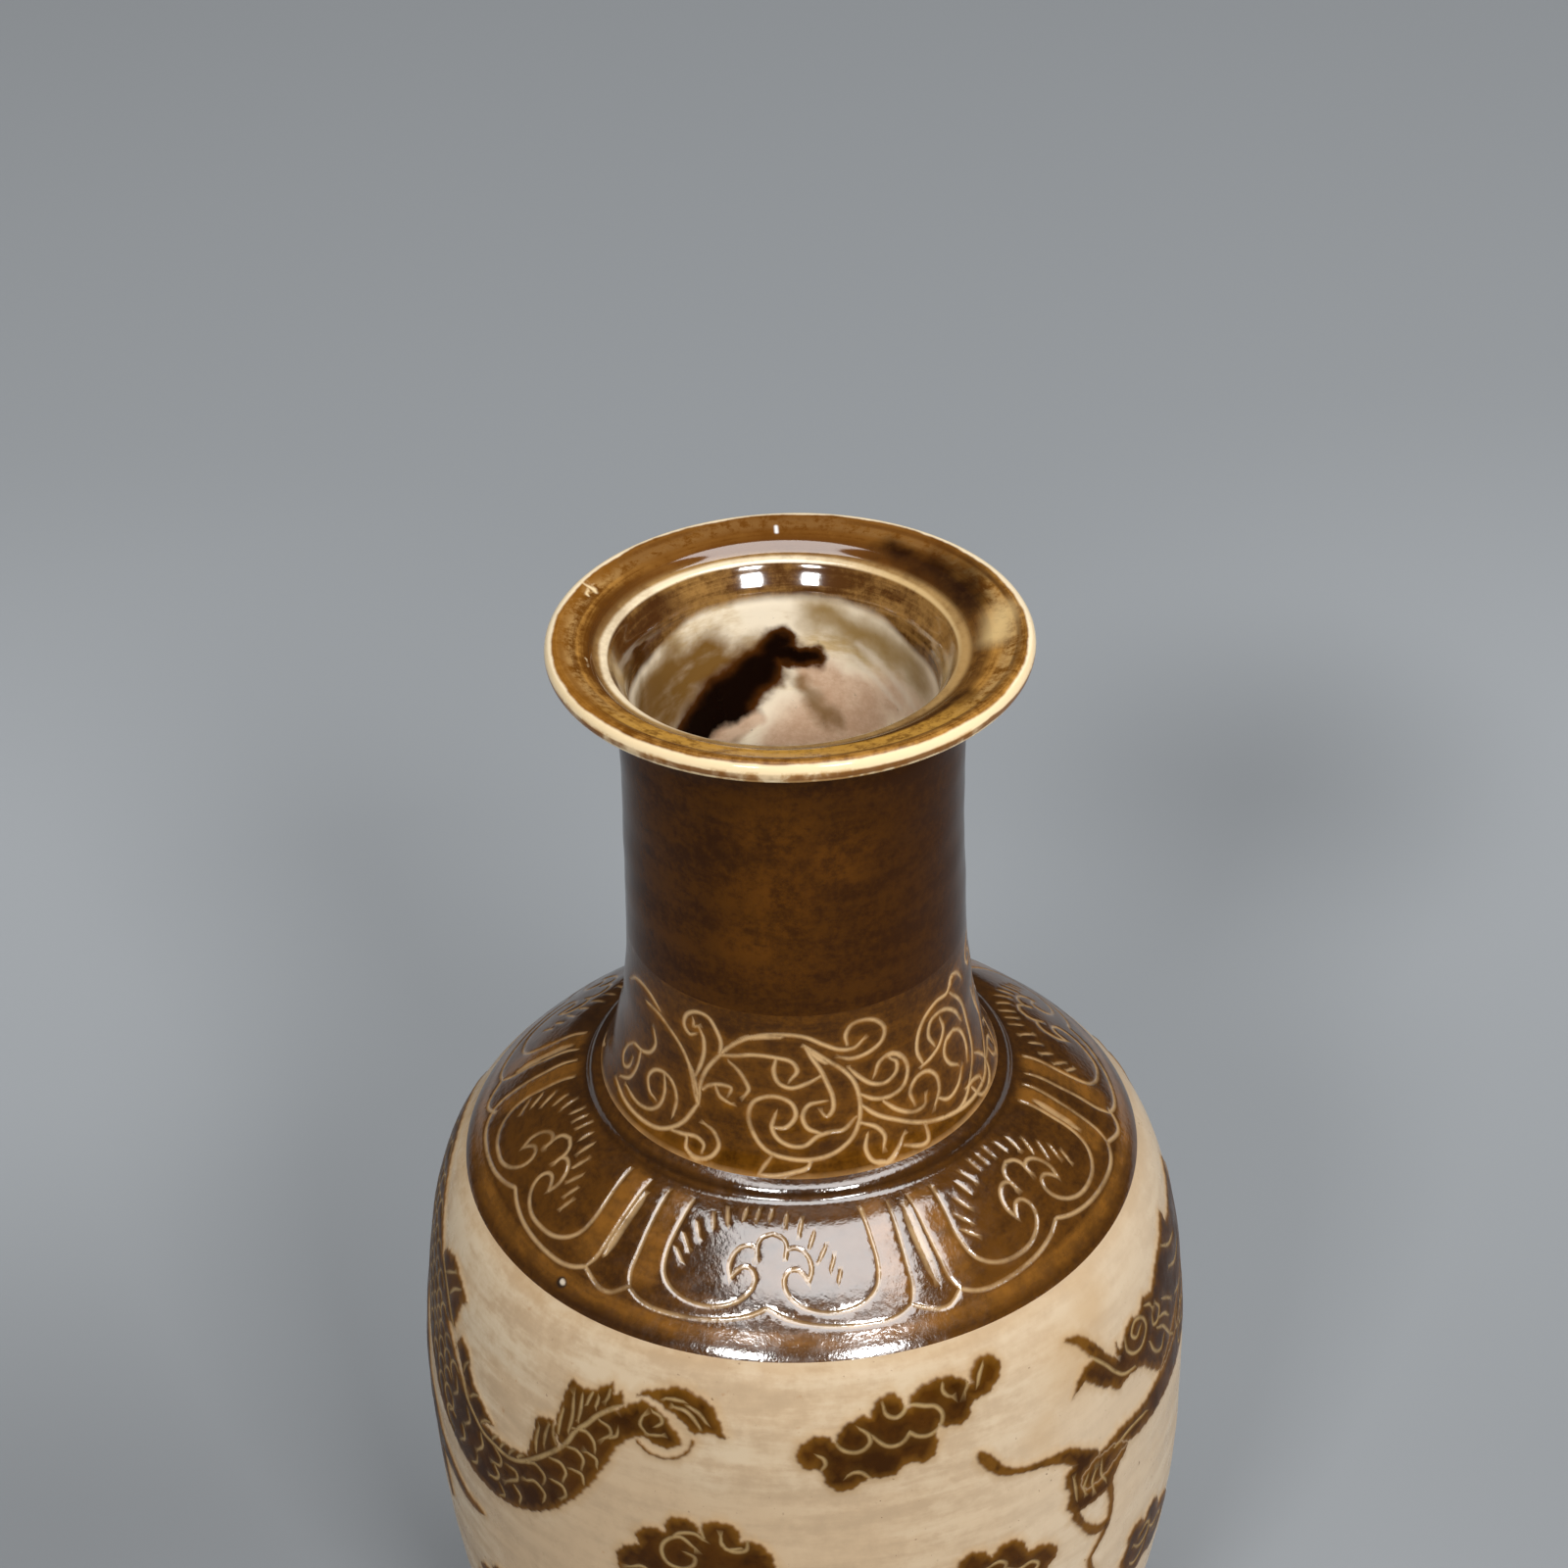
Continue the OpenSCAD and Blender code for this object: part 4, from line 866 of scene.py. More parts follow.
def glaze_material(colours, name, level=1.0, rough=0.1, coat=0.0, ior=1.36, grainy=1.0, marks=()):
    """Brown glaze that is cream in its carved lines and amber where it runs thin."""
    s = Shader(name)

    def tint(colour, k=1.0):
        return tuple(v * level * k for v in colour)

    broad = s.noise(16, 4, 0.55)
    grain = s.noise(700, 3, 0.65)
    fleck = s.noise(240, 4, 0.7)
    streak = s.noise(60, 5, 0.6, s.stretched((1, 1, 7), (0.25, 0.1, 0)))
    thin, line, pool = s.attribute("thin"), s.attribute("line"), s.attribute("pool")
    tone = s.spread(broad * 0.35 + streak * 0.25 + grain * 0.2 + fleck * 0.2, 0.42, 0.60)
    colour = s.blend(tint(colours.dark, 1.15), tint(colours.brown, 1.2), tone)
    amber = s.blend(tint(colours.amber, 0.75), tint(colours.amber, 1.2),
                    s.spread(fleck * 0.6 + streak * 0.4, 0.38, 0.62))
    colour = s.paint(colour, [
        (amber, s.maths("MULTIPLY", thin, s.spread(streak, 0.2, 0.75, 0.65, 1.0), True)),
        (tint(colours.dark, 0.7), pool)])
    fade = s.spread(s.noise(110, 4, 0.65), 0.30, 0.60, 0.45, 1.0)
    colour = s.paint(colour, [
        (s.blend(tint(colours.cream, 0.8), tint(colours.cream, 1.15), fade), line * fade),
        (tint(colours.dark, 0.5), s.spread(grain, 0.68, 0.80) * 0.35)])
    for kind, rows in marks:
        colour = s.blend(colour, kind, s.spots(rows, s.ragged(0.0008, 500)))
    roughness = s.spread(s.noise(300, 4, 0.6), 0.3, 0.75, rough * 0.8, rough * 1.4) - pool * (rough * 0.55)
    ripple = s.bump(s.noise(900, 2, 0.6), 0.6 * grainy, 0.00007, s.bump(s.noise(150, 3, 0.5), 0.10, 0.0003))
    return s.finish(colour, roughness, ripple, coat, ior, 1.6)


def slip(s, c):
    """Cream slip with faint orange stains, streaks from the wheel, dark specks and a painted sheen that
    pales its right side.
    """
    broad, mottle, fine = s.noise(9, 4, 0.55), s.noise(60, 5, 0.65), s.noise(260, 4, 0.65)
    streak = s.noise(40, 4, 0.6, s.stretched((1, 1, 6), (0.05, 0.03, 0)))
    ground = s.blend(tuple(c.clay), tuple(v * 0.86 for v in c.clay),
                     s.spread(streak * 0.6 + fine * 0.4, 0.42, 0.66))
    ground = s.paint(ground, [
        ((0.56, 0.46, 0.325), s.spread(streak * 0.5 + mottle * 0.3 + fine * 0.2, 0.56, 0.40)
         * s.spread(broad, 0.36, 0.56) * 0.7),
        (tuple(c.tan), s.spread(broad * 0.6 + mottle * 0.25 + fine * 0.15, 0.52, 0.70) * 0.5)])
    fleck = s.spread(s.noise(340, 3, 0.6), 0.66, 0.74) * s.spread(mottle, 0.48, 0.62)
    ground = s.paint(ground, [
        ((0.34, 0.185, 0.08), fleck * 0.6),
        # Painted sheen: the slip is made paler towards the right side (+X)
        ((0.54, 0.435, 0.315), s.spread(s.axes()[0], 0.022, 0.062) * 0.45)])
    speck = s.spread(s.noise(760, 2, 0.5), 0.70, 0.76) * s.spread(s.noise(75, 2, 0.5), 0.48, 0.66)
    return s.blend(ground, (0.09, 0.040, 0.015), speck * 0.75)


# ---------------------------------------------------------------- operators


def settle(piece, material):
    piece.data.materials.clear()
    piece.data.materials.append(material)
    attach(piece, "root")


def sizes():
    return bpy.context.scene.bottle_sizes


def colours():
    return bpy.context.scene.bottle_colours


class BOTTLE_OT_mouth(bpy.types.Operator):
    """Turned mouth, straight neck and the neck's inside"""

    bl_idname = "bottle.mouth"
    bl_label = "Mouth and neck"

    def execute(self, context):
        lower = Turned(NECK_ROWS).profile(SCROLL_START, -96, 28)
        under = rounded([(36, 317), (36.5, 319.3), (38.6, 321.4), (42.3, 322.9), (45.9, 324.15),
                         (47.35, 325.05)], 0.8)
        lip = [(48 + 2 * math.cos(math.radians(a)), 327.5 + 2.5 * math.sin(math.radians(a)))
               for a in range(-75, 116, 12)]
        flange = rounded([(47.1, 329.75), (46, 329.35), (43.5, 328.55), (41.4, 327.95), (40.4, 327.55),
                          (39.7, 327.1), (39.0, 326.5), (38.4, 326.1), (37.7, 325.9), (36.9, 325.75),
                          (36.15, 325.55), (35.6, 325.1), (35.2, 324.5), (34.85, 323.85), (34.45, 323.15),
                          (34.0, 322.45), (33.5, 321.7), (33.05, 320.95), (32.65, 320.1), (32.35, 319.0),
                          (32.15, 317.2), (32.1, 314.5), (32.1, 300)], 0.5)
        inner = rounded([(32.1, 300), (32.1, 280), (32.3, 262), (32.6, 250), (33.4, 240), (35, 231),
                         (37.2, 224)], 2.4)
        profile = lower + under[1:] + lip + flange[1:] + inner[1:]
        piece = spun_piece("mouth_and_neck", profile, sizes().turns)
        co = np.zeros(len(piece.data.vertices) * 3)
        piece.data.vertices.foreach_get("co", co)
        co = co.reshape(-1, 3)
        a = np.arctan2(co[:, 0], -co[:, 1])
        z = co[:, 2] / MM
        t = 221.9 - z
        out = wobble(a, t) * portion((t + 110) / 8) * portion((z - 262) / 6) * portion((318 - z) / 4)
        r = np.hypot(co[:, 0], co[:, 1])
        keep = r > 34.5 * MM
        co[:, :2] *= (1 + np.where(keep, out * MM / r, 0))[:, None]
        throat = portion((44.5 * MM - r) / (7 * MM)) * portion((z
                                                                - 285) / 30) * ((r < 36.5 * MM) | (z > 325))
        inner = (z > 317) | (r < 34.4 * MM)
        co[:, 0] -= np.where(inner, OFF_AXIS * MM * throat, 0)
        piece.data.vertices.foreach_set("co", co.ravel())
        settle(piece, self.material())
        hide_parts("bottle")
        return {"FINISHED"}

    def material(self):
        s = Shader("mouth_glaze")
        x, y, z = s.axes()
        r, ri, h = s.reach(x, y), s.reach(x + OFF_AXIS * MM, y), z * 1000.0
        broad, mottle, grain = s.noise(14, 4, 0.55), s.noise(75, 4, 0.6), s.noise(620, 3, 0.65)
        speckle = s.noise(330, 5, 0.75)
        loose, fine = s.ragged(0.009, 110), s.ragged(0.0018, 420)
        # Neck, with slanting streaks, amber down its front that is partly real glaze and partly painted
        # light, and painted shade on its right side
        streak = s.noise(34, 4, 0.6, s.stretched((1, 1, 5), (0.3, 0.16, 0)))
        tone = s.spread(broad * 0.25 + streak * 0.3 + grain * 0.2 + speckle * 0.25, 0.43, 0.57)
        neck = s.blend((0.031, 0.0095, 0.0010), (0.060, 0.0200, 0.0014), tone)
        # Amber patches on the neck's front: partly real glaze colour, partly painted light on the side that
        # faces the lamps
        front = s.spots([(-4, -36, 303, 6, 8), (-5, -36, 290, 7, 9), (-6, -36, 277, 6, 9),
                         (8, -35, 297, 4, 8)], loose)
        neck = s.paint(neck, [
            ((0.120, 0.040, 0.0030), front * s.spread(mottle * 0.5 + speckle * 0.5, 0.40, 0.60, 0.1, 0.75)),
            # Painted shade: the neck glaze is darkened towards its right side (+X)
            ((0.028, 0.0085, 0.0010), s.spread(x, 0.004, 0.032) * 0.45)])
        # Top of the mouth, drawn out in rings by the wheel
        wear = s.noise(26, 4, 0.6, s.ragged(0.02, 30))
        worn = r + wear * 5.0 - 2.5
        swirl = s.node("ShaderNodeCombineXYZ", {}, {"X": r * 0.8, "Y": h * 0.5, "Z": broad * 1.6})
        rings = s.noise(1.0, 5, 0.7, swirl)
        mixed = s.spread(rings * 0.3 + wear * 0.25 + mottle * 0.15 + speckle * 0.3, 0.42, 0.58)
        brown = s.blend((0.125, 0.043, 0.0045), (0.44, 0.215, 0.046), mixed)
        brown = s.paint(brown, [
            ((0.085, 0.029, 0.004), s.spread(worn, 42.4, 40.2) * s.spread(speckle, 0.35, 0.6, 0.5, 0.9)),
            ((0.47, 0.29, 0.11), s.spread(worn, 42.6, 44.6) * s.spread(worn, 47.4, 45.6)
             * s.spread(speckle, 0.40, 0.62) * 0.75),
            ((0.070, 0.023, 0.003), s.spread(r, 45.6, 46.3) * s.spread(r, 47.3, 46.6)
             * s.spread(wear * 0.6 + speckle * 0.4, 0.40, 0.56) * 0.8),
            ((0.27, 0.105, 0.012), s.spread(x, -0.030, -0.040) * s.spread(worn, 43.5, 46) * 0.6),
            ((0.13, 0.045, 0.006), s.spread(y, 0.018, 0.034) * s.spread(speckle * 0.6 + rings * 0.4, 0.36,
                                                                        0.56, 0.25, 0.8))])
        dark = s.strokes([((37.5, 12.5, 328), (36, 20, 328), 3.2, 4),
                          ((36, 20, 328), (30, 28.5, 328), 4.4, 4.5),
                          ((30, 28.5, 328), (21, 35, 328), 1.6, 4)], loose)
        brown = s.paint(brown, [
            ((0.018, 0.005, 0.001), dark * s.spread(speckle, 0.3, 0.55, 0.8, 0.98)),
            ((0.70, 0.49, 0.22), s.strokes([((43.5, 7, 328), (42, -1, 328), 2.6, 3.6)], s.ragged(0.004, 70))
             * s.spread(speckle, 0.25, 0.5, 0.6, 0.85)),
            ((0.045, 0.015, 0.002), s.strokes([((14, -38, 327), (34, -22.5, 327), 1.6, 3.6),
                                               ((-6, -42.5, 328), (14, -40, 328), 0.6, 1.8)], loose)
             * s.spread(speckle, 0.3, 0.6, 0.45, 0.9)),
            ((0.58, 0.30, 0.050), s.spread(y, -0.022, -0.036) * s.spread(worn, 40.5, 41.8)
             * s.spread(r, 46.8, 46.0) * s.spread(speckle, 0.36, 0.56, 0.25, 0.9))])
        # Cream ridge and the worn, cream edge of the lip
        halo = s.spread(ri, 39.2, 37.4) * s.spread(ri, 34.8, 36.4)
        brown = s.blend(brown, (0.52, 0.32, 0.12), halo * s.spread(wear * 0.5 + speckle * 0.5, 0.34, 0.58,
                                                                   0.3, 0.8))
        uneven = ri + mottle * 1.0 - 0.5 + s.spread(x - y, -0.03, 0.035, 0.0, 1.15)
        ridge = s.spread(uneven, 37.9, 36.9) * s.spread(ri, 35.3, 36.0)
        ridge = ridge * s.spread(y - x * 0.4, -0.034, -0.004, 0.45, 1.0)
        # Cream ridge, whiter at the left and amber at the right: real cream, with a painted reflection that
        # whitens its left side
        brown = s.blend(brown, s.blend((0.90, 0.74, 0.50), (0.62, 0.42, 0.19), s.spread(x, 0.0, 0.026)),
                        ridge * s.spread(wear * 0.6 + speckle * 0.4, 0.32, 0.5, 0.6, 1.0))
        bite = s.noise(85, 4, 0.6, s.stretched((1, 1, 0.5)))
        edge = s.spread(r + bite * 1.5 - 0.75 + s.spread(y, -0.03, 0.02, -0.35, 1.0), 48.5, 49.1)
        brown = s.paint(brown, [
            ((0.90, 0.74, 0.50), edge),
            ((0.86, 0.66, 0.38), s.strokes([((-40.0, 19.2, 329), (-43.8, 21.6, 329.6), 0.45, 0.4),
                                            ((-41.8, 17.6, 329), (-42.1, 23.2, 329), 0.45, 0.4),
                                            ((-43.6, 18.6, 329), (-40.4, 21.6, 329), 0.25, 0.35),
                                            ((-41.2, -5.6, 328), (-40.5, -8.6, 328), 0.2, 0.35)], fine)
             * 0.95),
            # Near-white spot on the flange's back: a real pinhole with a painted highlight on it
            ((0.9, 0.88, 0.84), s.strokes([((-2.3, 43.0, 328.4), (-2.4, 44.6, 328.8), 0.35, 0.35)]))])
        # Outer face of the lip: cream above, amber and brown patches and a brown line below
        stained = s.spread(bite * 0.7 + speckle * 0.3, 0.44, 0.52)
        skirt = s.blend((0.80, 0.62, 0.37), (0.36, 0.155, 0.022),
                        stained * s.spread(h + mottle * 2.0 - 1.0, 328.3, 327.4) * 0.8)
        seam = s.spread(h + bite * 1.4 - 0.7, 327.9, 327.4) * s.spread(h + bite * 1.0 - 0.5, 326.1, 326.5)
        skirt = s.blend(skirt, (0.17, 0.062, 0.008), seam * s.spread(mottle * 0.6 + bite * 0.4, 0.36, 0.48,
                                                                     0.25, 0.95))
        skirt = s.blend((0.20, 0.085, 0.014), skirt, s.spread(h + bite * 1.2 - 0.6, 325.2, 325.7))
        under = s.blend(skirt, brown, s.spread(h, 329.2, 329.7))
        under = s.blend(brown, under, s.spread(r, 47.6, 48.0))
        under = s.blend((0.060, 0.020, 0.003), under, s.spread(h, 324.6, 325.2))
        # Inside of the neck: cream at the top, a dark run at the left and bare clay at the right
        sweep = s.noise(38, 5, 0.7, s.stretched((1, 1, 2.6), (0.35, 0.5, 0)))
        cloudy = s.noise(52, 4, 0.6)
        inner = s.blend((1.0, 0.88, 0.68), (0.66, 0.48, 0.24),
                        s.spread(sweep * 0.6 + cloudy * 0.4, 0.50, 0.66))
        inner = s.paint(inner, [
            ((0.31, 0.19, 0.058),
             s.strokes([((6, 31.5, 315), (16, 28, 312), 4.2, 4), ((16, 28, 312), (28, 16, 308), 5, 5)],
                       loose) * 0.95),
            ((0.33, 0.21, 0.070),
             s.strokes([((-32, 2, 300), (-29, 14, 303), 4, 6), ((-31, 8, 309), (-24, 21, 311), 1.6, 4)],
                       loose) * 0.75)])
        bare = s.spots([(14, 29, 294, 9, 3), (21, 24, 299, 6, 4), (9, 31, 300, 5, 3), (28, 16, 296, 7, 5),
                        (8, 31, 278, 16, 4)], loose)
        clay = s.blend((0.60, 0.39, 0.255), (0.74, 0.54, 0.38),
                       s.spread(sweep * 0.5 + speckle * 0.5, 0.38, 0.6))
        inner = s.paint(inner, [
            (clay, bare),
            ((0.86, 0.76, 0.62),
             s.strokes([((15, 28, 309), (27, 18, 299), 0.5, 1.6),
                        ((13, 29.5, 306), (23, 22, 297), 0.3, 1.2)], fine) * 0.5),
            ((0.70, 0.34, 0.18), s.strokes([((3.5, 32, 302), (4.5, 32, 297), 0.8, 2.0)], loose) * 0.5),
            ((0.20, 0.105, 0.030), s.strokes([((3.5, 32, 298.5), (8.5, 31, 288.5), 1.6, 2.6)], loose)
             * 0.85)])
        veil = s.strokes([((-30, 11, 293), (-22, 23, 302), 6.0, 5.5),
                          ((-29, 14, 305), (-17, 27.5, 306.5), 6.8, 3.4),
                          ((-17, 27.5, 306), (-6, 31.5, 305.5), 3.6, 3)], loose)
        inner = s.blend(inner, (0.215, 0.110, 0.026), veil * s.spread(cloudy * 0.5 + sweep * 0.5, 0.34,
                                                                      0.52, 0.65, 1.0))
        run = s.strokes([((-22.5, 22.8, 284), (-15, 28.4, 294), 7.4, 4.4),
                         ((-15, 28.4, 294), (-6.5, 31.4, 300.5), 5.6, 4.2),
                         ((-6.5, 31.4, 300.5), (-1.5, 32, 306.5), 3.0, 3.4),
                         ((-4, 31.8, 304), (5.5, 31.8, 304.6), 1.6, 2.6)], loose)
        inner = s.paint(inner, [
            ((0.085, 0.026, 0.004), s.spread(run, 0.02, 0.5)),
            ((0.0055, 0.0018, 0.0008), s.spread(run, 0.3, 0.95)),
            (clay, s.strokes([((-14.5, 28.5, 285.5), (-9, 30.5, 288.5), 2.4, 1.3)], loose) * 0.95)])
        throat = s.blend((0.080, 0.029, 0.005), (0.30, 0.155, 0.042),
                         s.spread(wear * 0.4 + rings * 0.3 + speckle * 0.3, 0.42, 0.58))
        throat = s.paint(throat, [
            ((0.60, 0.42, 0.19), s.spots([(-33, -4, 320, 5, 6), (33, -6, 320, 4, 6)], loose) * 0.6),
            ((0.050, 0.015, 0.003), s.strokes([((-33, 4, 323), (-25, 22, 323), 3.0, 4.5)], loose) * 0.85)])
        inner = s.blend(inner, throat,
                        s.spread(h + cloudy * 3.0 - 1.5 + s.spread(y, 0.029, 0.014, 0.0, 5.0), 317.0,
                                 319.8))
        top = s.maths("MAXIMUM", s.spread(h, 324.9, 325.4), s.spread(r, 39.5, 41.0))
        outside = s.spread(r, 34.9, 35.3) * s.spread(h, 322.0, 321.0)
        colour = s.blend(s.blend(inner, neck, outside), under, top)
        colour = s.blend(colour, (0.045, 0.014, 0.002), s.spread(grain, 0.66, 0.78) * 0.4)
        shiny = s.maths("MAXIMUM", s.spread(h, 324.0, 325.4) * s.spread(y, -0.02, 0.02, 0.12, 0.45),
                        s.spread(r, 41.8, 40.8) * s.spread(h, 317, 319)
                        * s.spread(y, -0.01, 0.01, 0.45, 1.0))
        roughness = s.spread(s.noise(300, 4, 0.6), 0.3, 0.75, 0.07, 0.15)
        ripple = s.bump(s.noise(650, 3, 0.6), 0.5, 0.00005, s.bump(s.noise(120, 3, 0.5), 0.16, 0.0003))
        return s.finish(colour, roughness, ripple, shiny, 1.17, 1.9, 0.09)


class BOTTLE_OT_scroll(bpy.types.Operator):
    """Foot of the neck with its carved scroll"""

    bl_idname = "bottle.scroll"
    bl_label = "Scroll band"

    def execute(self, context):
        size = sizes()
        surface = Turned(NECK_ROWS)
        carving = Carving(surface)
        w, d = size.line_width, size.line_depth

        def turned(path, turn):
            return [(a + turn, t) for a, t in path]

        for turn in (0, 118, 240):
            for path in SCROLL_MIDDLE:
                carving.line(turned(path, turn), w, d)
        for path in SCROLL_LEFT:
            carving.line(path, w * 0.9, d)
        for turn in (0, 118):
            for path in SCROLL_RIGHT:
                carving.line(turned(path, turn), w, d)
        for turn in (0, 118, 240):
            for path in SCROLL_THICK[: 5 if turn == 240 else 8]:
                carving.line(turned(path, turn), w * 1.7, d * 1.1)

        def lift(carving, v):
            depth, _ = groove(carving, v)
            return wobble(v["flat"][:, 0], v["t"]) * ends(v, SCROLL_START, 0) - depth

        def marks(carving, v):
            _, cream = groove(carving, v)
            amber = soft((v["t"] + 1.9) / 1.8) * 0.95
            near = soft((2.0 - v["line"]) / 2.0) * 0.3
            stems = soft((1.3 - v["line"]) / 1.3) * 0.3
            cream = cream * 0.8
            foot = soft((v["t"] + 0.75) / 0.5) * 0.35
            return {"line": np.maximum(cream, foot), "thin": np.clip(np.maximum(amber, near) + stems, 0, 1),
                    "pool": np.zeros(len(cream))}

        piece = carved_mesh("scroll_band", carving, SCROLL_START, 0, size.mesh_step, size.turns, lift,
                            marks)
        settle(piece, glaze_material(colours(), "scroll_glaze", 0.62, 0.14, ior=1.22))
        return {"FINISHED"}


class BOTTLE_OT_shoulder(bpy.types.Operator):
    """Collar and sloping shoulder with its carved lappets"""

    bl_idname = "bottle.shoulder"
    bl_label = "Shoulder"

    def execute(self, context):
        size = sizes()
        surface = Turned(SHOULDER_ROWS)
        carving = Carving(surface)
        w, d = size.line_width, size.line_depth
        for k in range(LAPPETS):
            middle = LAPPET_TURN * k + LAPPET_FIRST
            shift = (0.6 * math.sin(1.9 * k + 0.5), 0.35 * math.sin(2.7 * k))
            lean = 0.012 * math.sin(3.1 * k + 1)

            def put(path, m=1):
                return [(middle + shift[0] + m * a * (1 + lean),
                         t + shift[1] * soft((t - 8) / 12) * (t < 29)) for a, t in path]

            for m in (-1, 1):
                for path in (LAPPET_LOBE, LAPPET_SIDE, LAPPET_VOLUTE, LAPPET_FRINGE, LAPPET_CROWN):
                    carving.line(put(path, m), w, d, taper=path is LAPPET_SIDE)
            carving.line(put(LAPPET_LINK), w, d, taper=False)
            for a, b in DASHES:
                mid = ((a[0] + b[0]) / 2, (a[1] + b[1]) / 2)
                carving.line(put([a, mid, b]), w * 1.25, d, spacing=0.42)
        for a, b, c, width in GOUGES:
            carving.line([a, b, c], width * 0.75, d * 1.5)

        def lift(carving, v):
            depth, _ = groove(carving, v)
            return wobble(v["flat"][:, 0], v["t"]) * ends(v, 0, SHOULDER_END) - depth

        def marks(carving, v):
            a, t = np.degrees(v["flat"][:, 0]), v["t"]
            _, cream = groove(carving, v)
            rel = np.abs((a - LAPPET_FIRST + LAPPET_TURN / 2) % LAPPET_TURN - LAPPET_TURN / 2)
            bars = soft((3.3 - np.abs(rel - 23.8)) / 1.2) * soft((t - 5) / 3) * soft((31.5 - t) / 6)
            band = soft((2.2 - np.abs(t - 35.0)) / 1.3)
            near = soft((1.5 - v["line"]) / 1.5) * 0.3
            edge = soft((t - 38.2 - 0.25 * np.sin(a * 0.9) - 0.2 * np.sin(a * 2.3 + 1) - 0.12
                         * np.sin(a * 6.1)) / 0.3)
            pool = (soft((1.3 - np.abs(t - 2.8)) / 1.3) * 0.75 + soft((0.7 - np.abs(t - 4.6)) / 0.7) * 0.5
                    + soft((1.0 - np.abs(t - 37.9)) / 0.8) * 0.3)
            return {"line": cream * 0.75, "thin": np.clip(0.95 * bars + 0.85 * band + near, 0, 1),
                    "pool": np.clip(pool, 0, 0.85), "slip": edge}

        piece = carved_mesh("shoulder", carving, 0, SHOULDER_END, size.mesh_step, size.turns, lift, marks)
        settle(piece, glaze_material(colours(), "shoulder_glaze", 0.57, 0.16, 0.0, 2.3, 1.5, marks=[
            ((0.02, 0.01, 0.005), [(-51.4, -51.4, 201.8, 1.3, 0.4), (44.3, -44.8, 208.4, 0.9, 0.5)]),
            ((0.6, 0.5, 0.38), [(-51.2, -51.5, 202, 0.75, 0.3)])]))
        return {"FINISHED"}


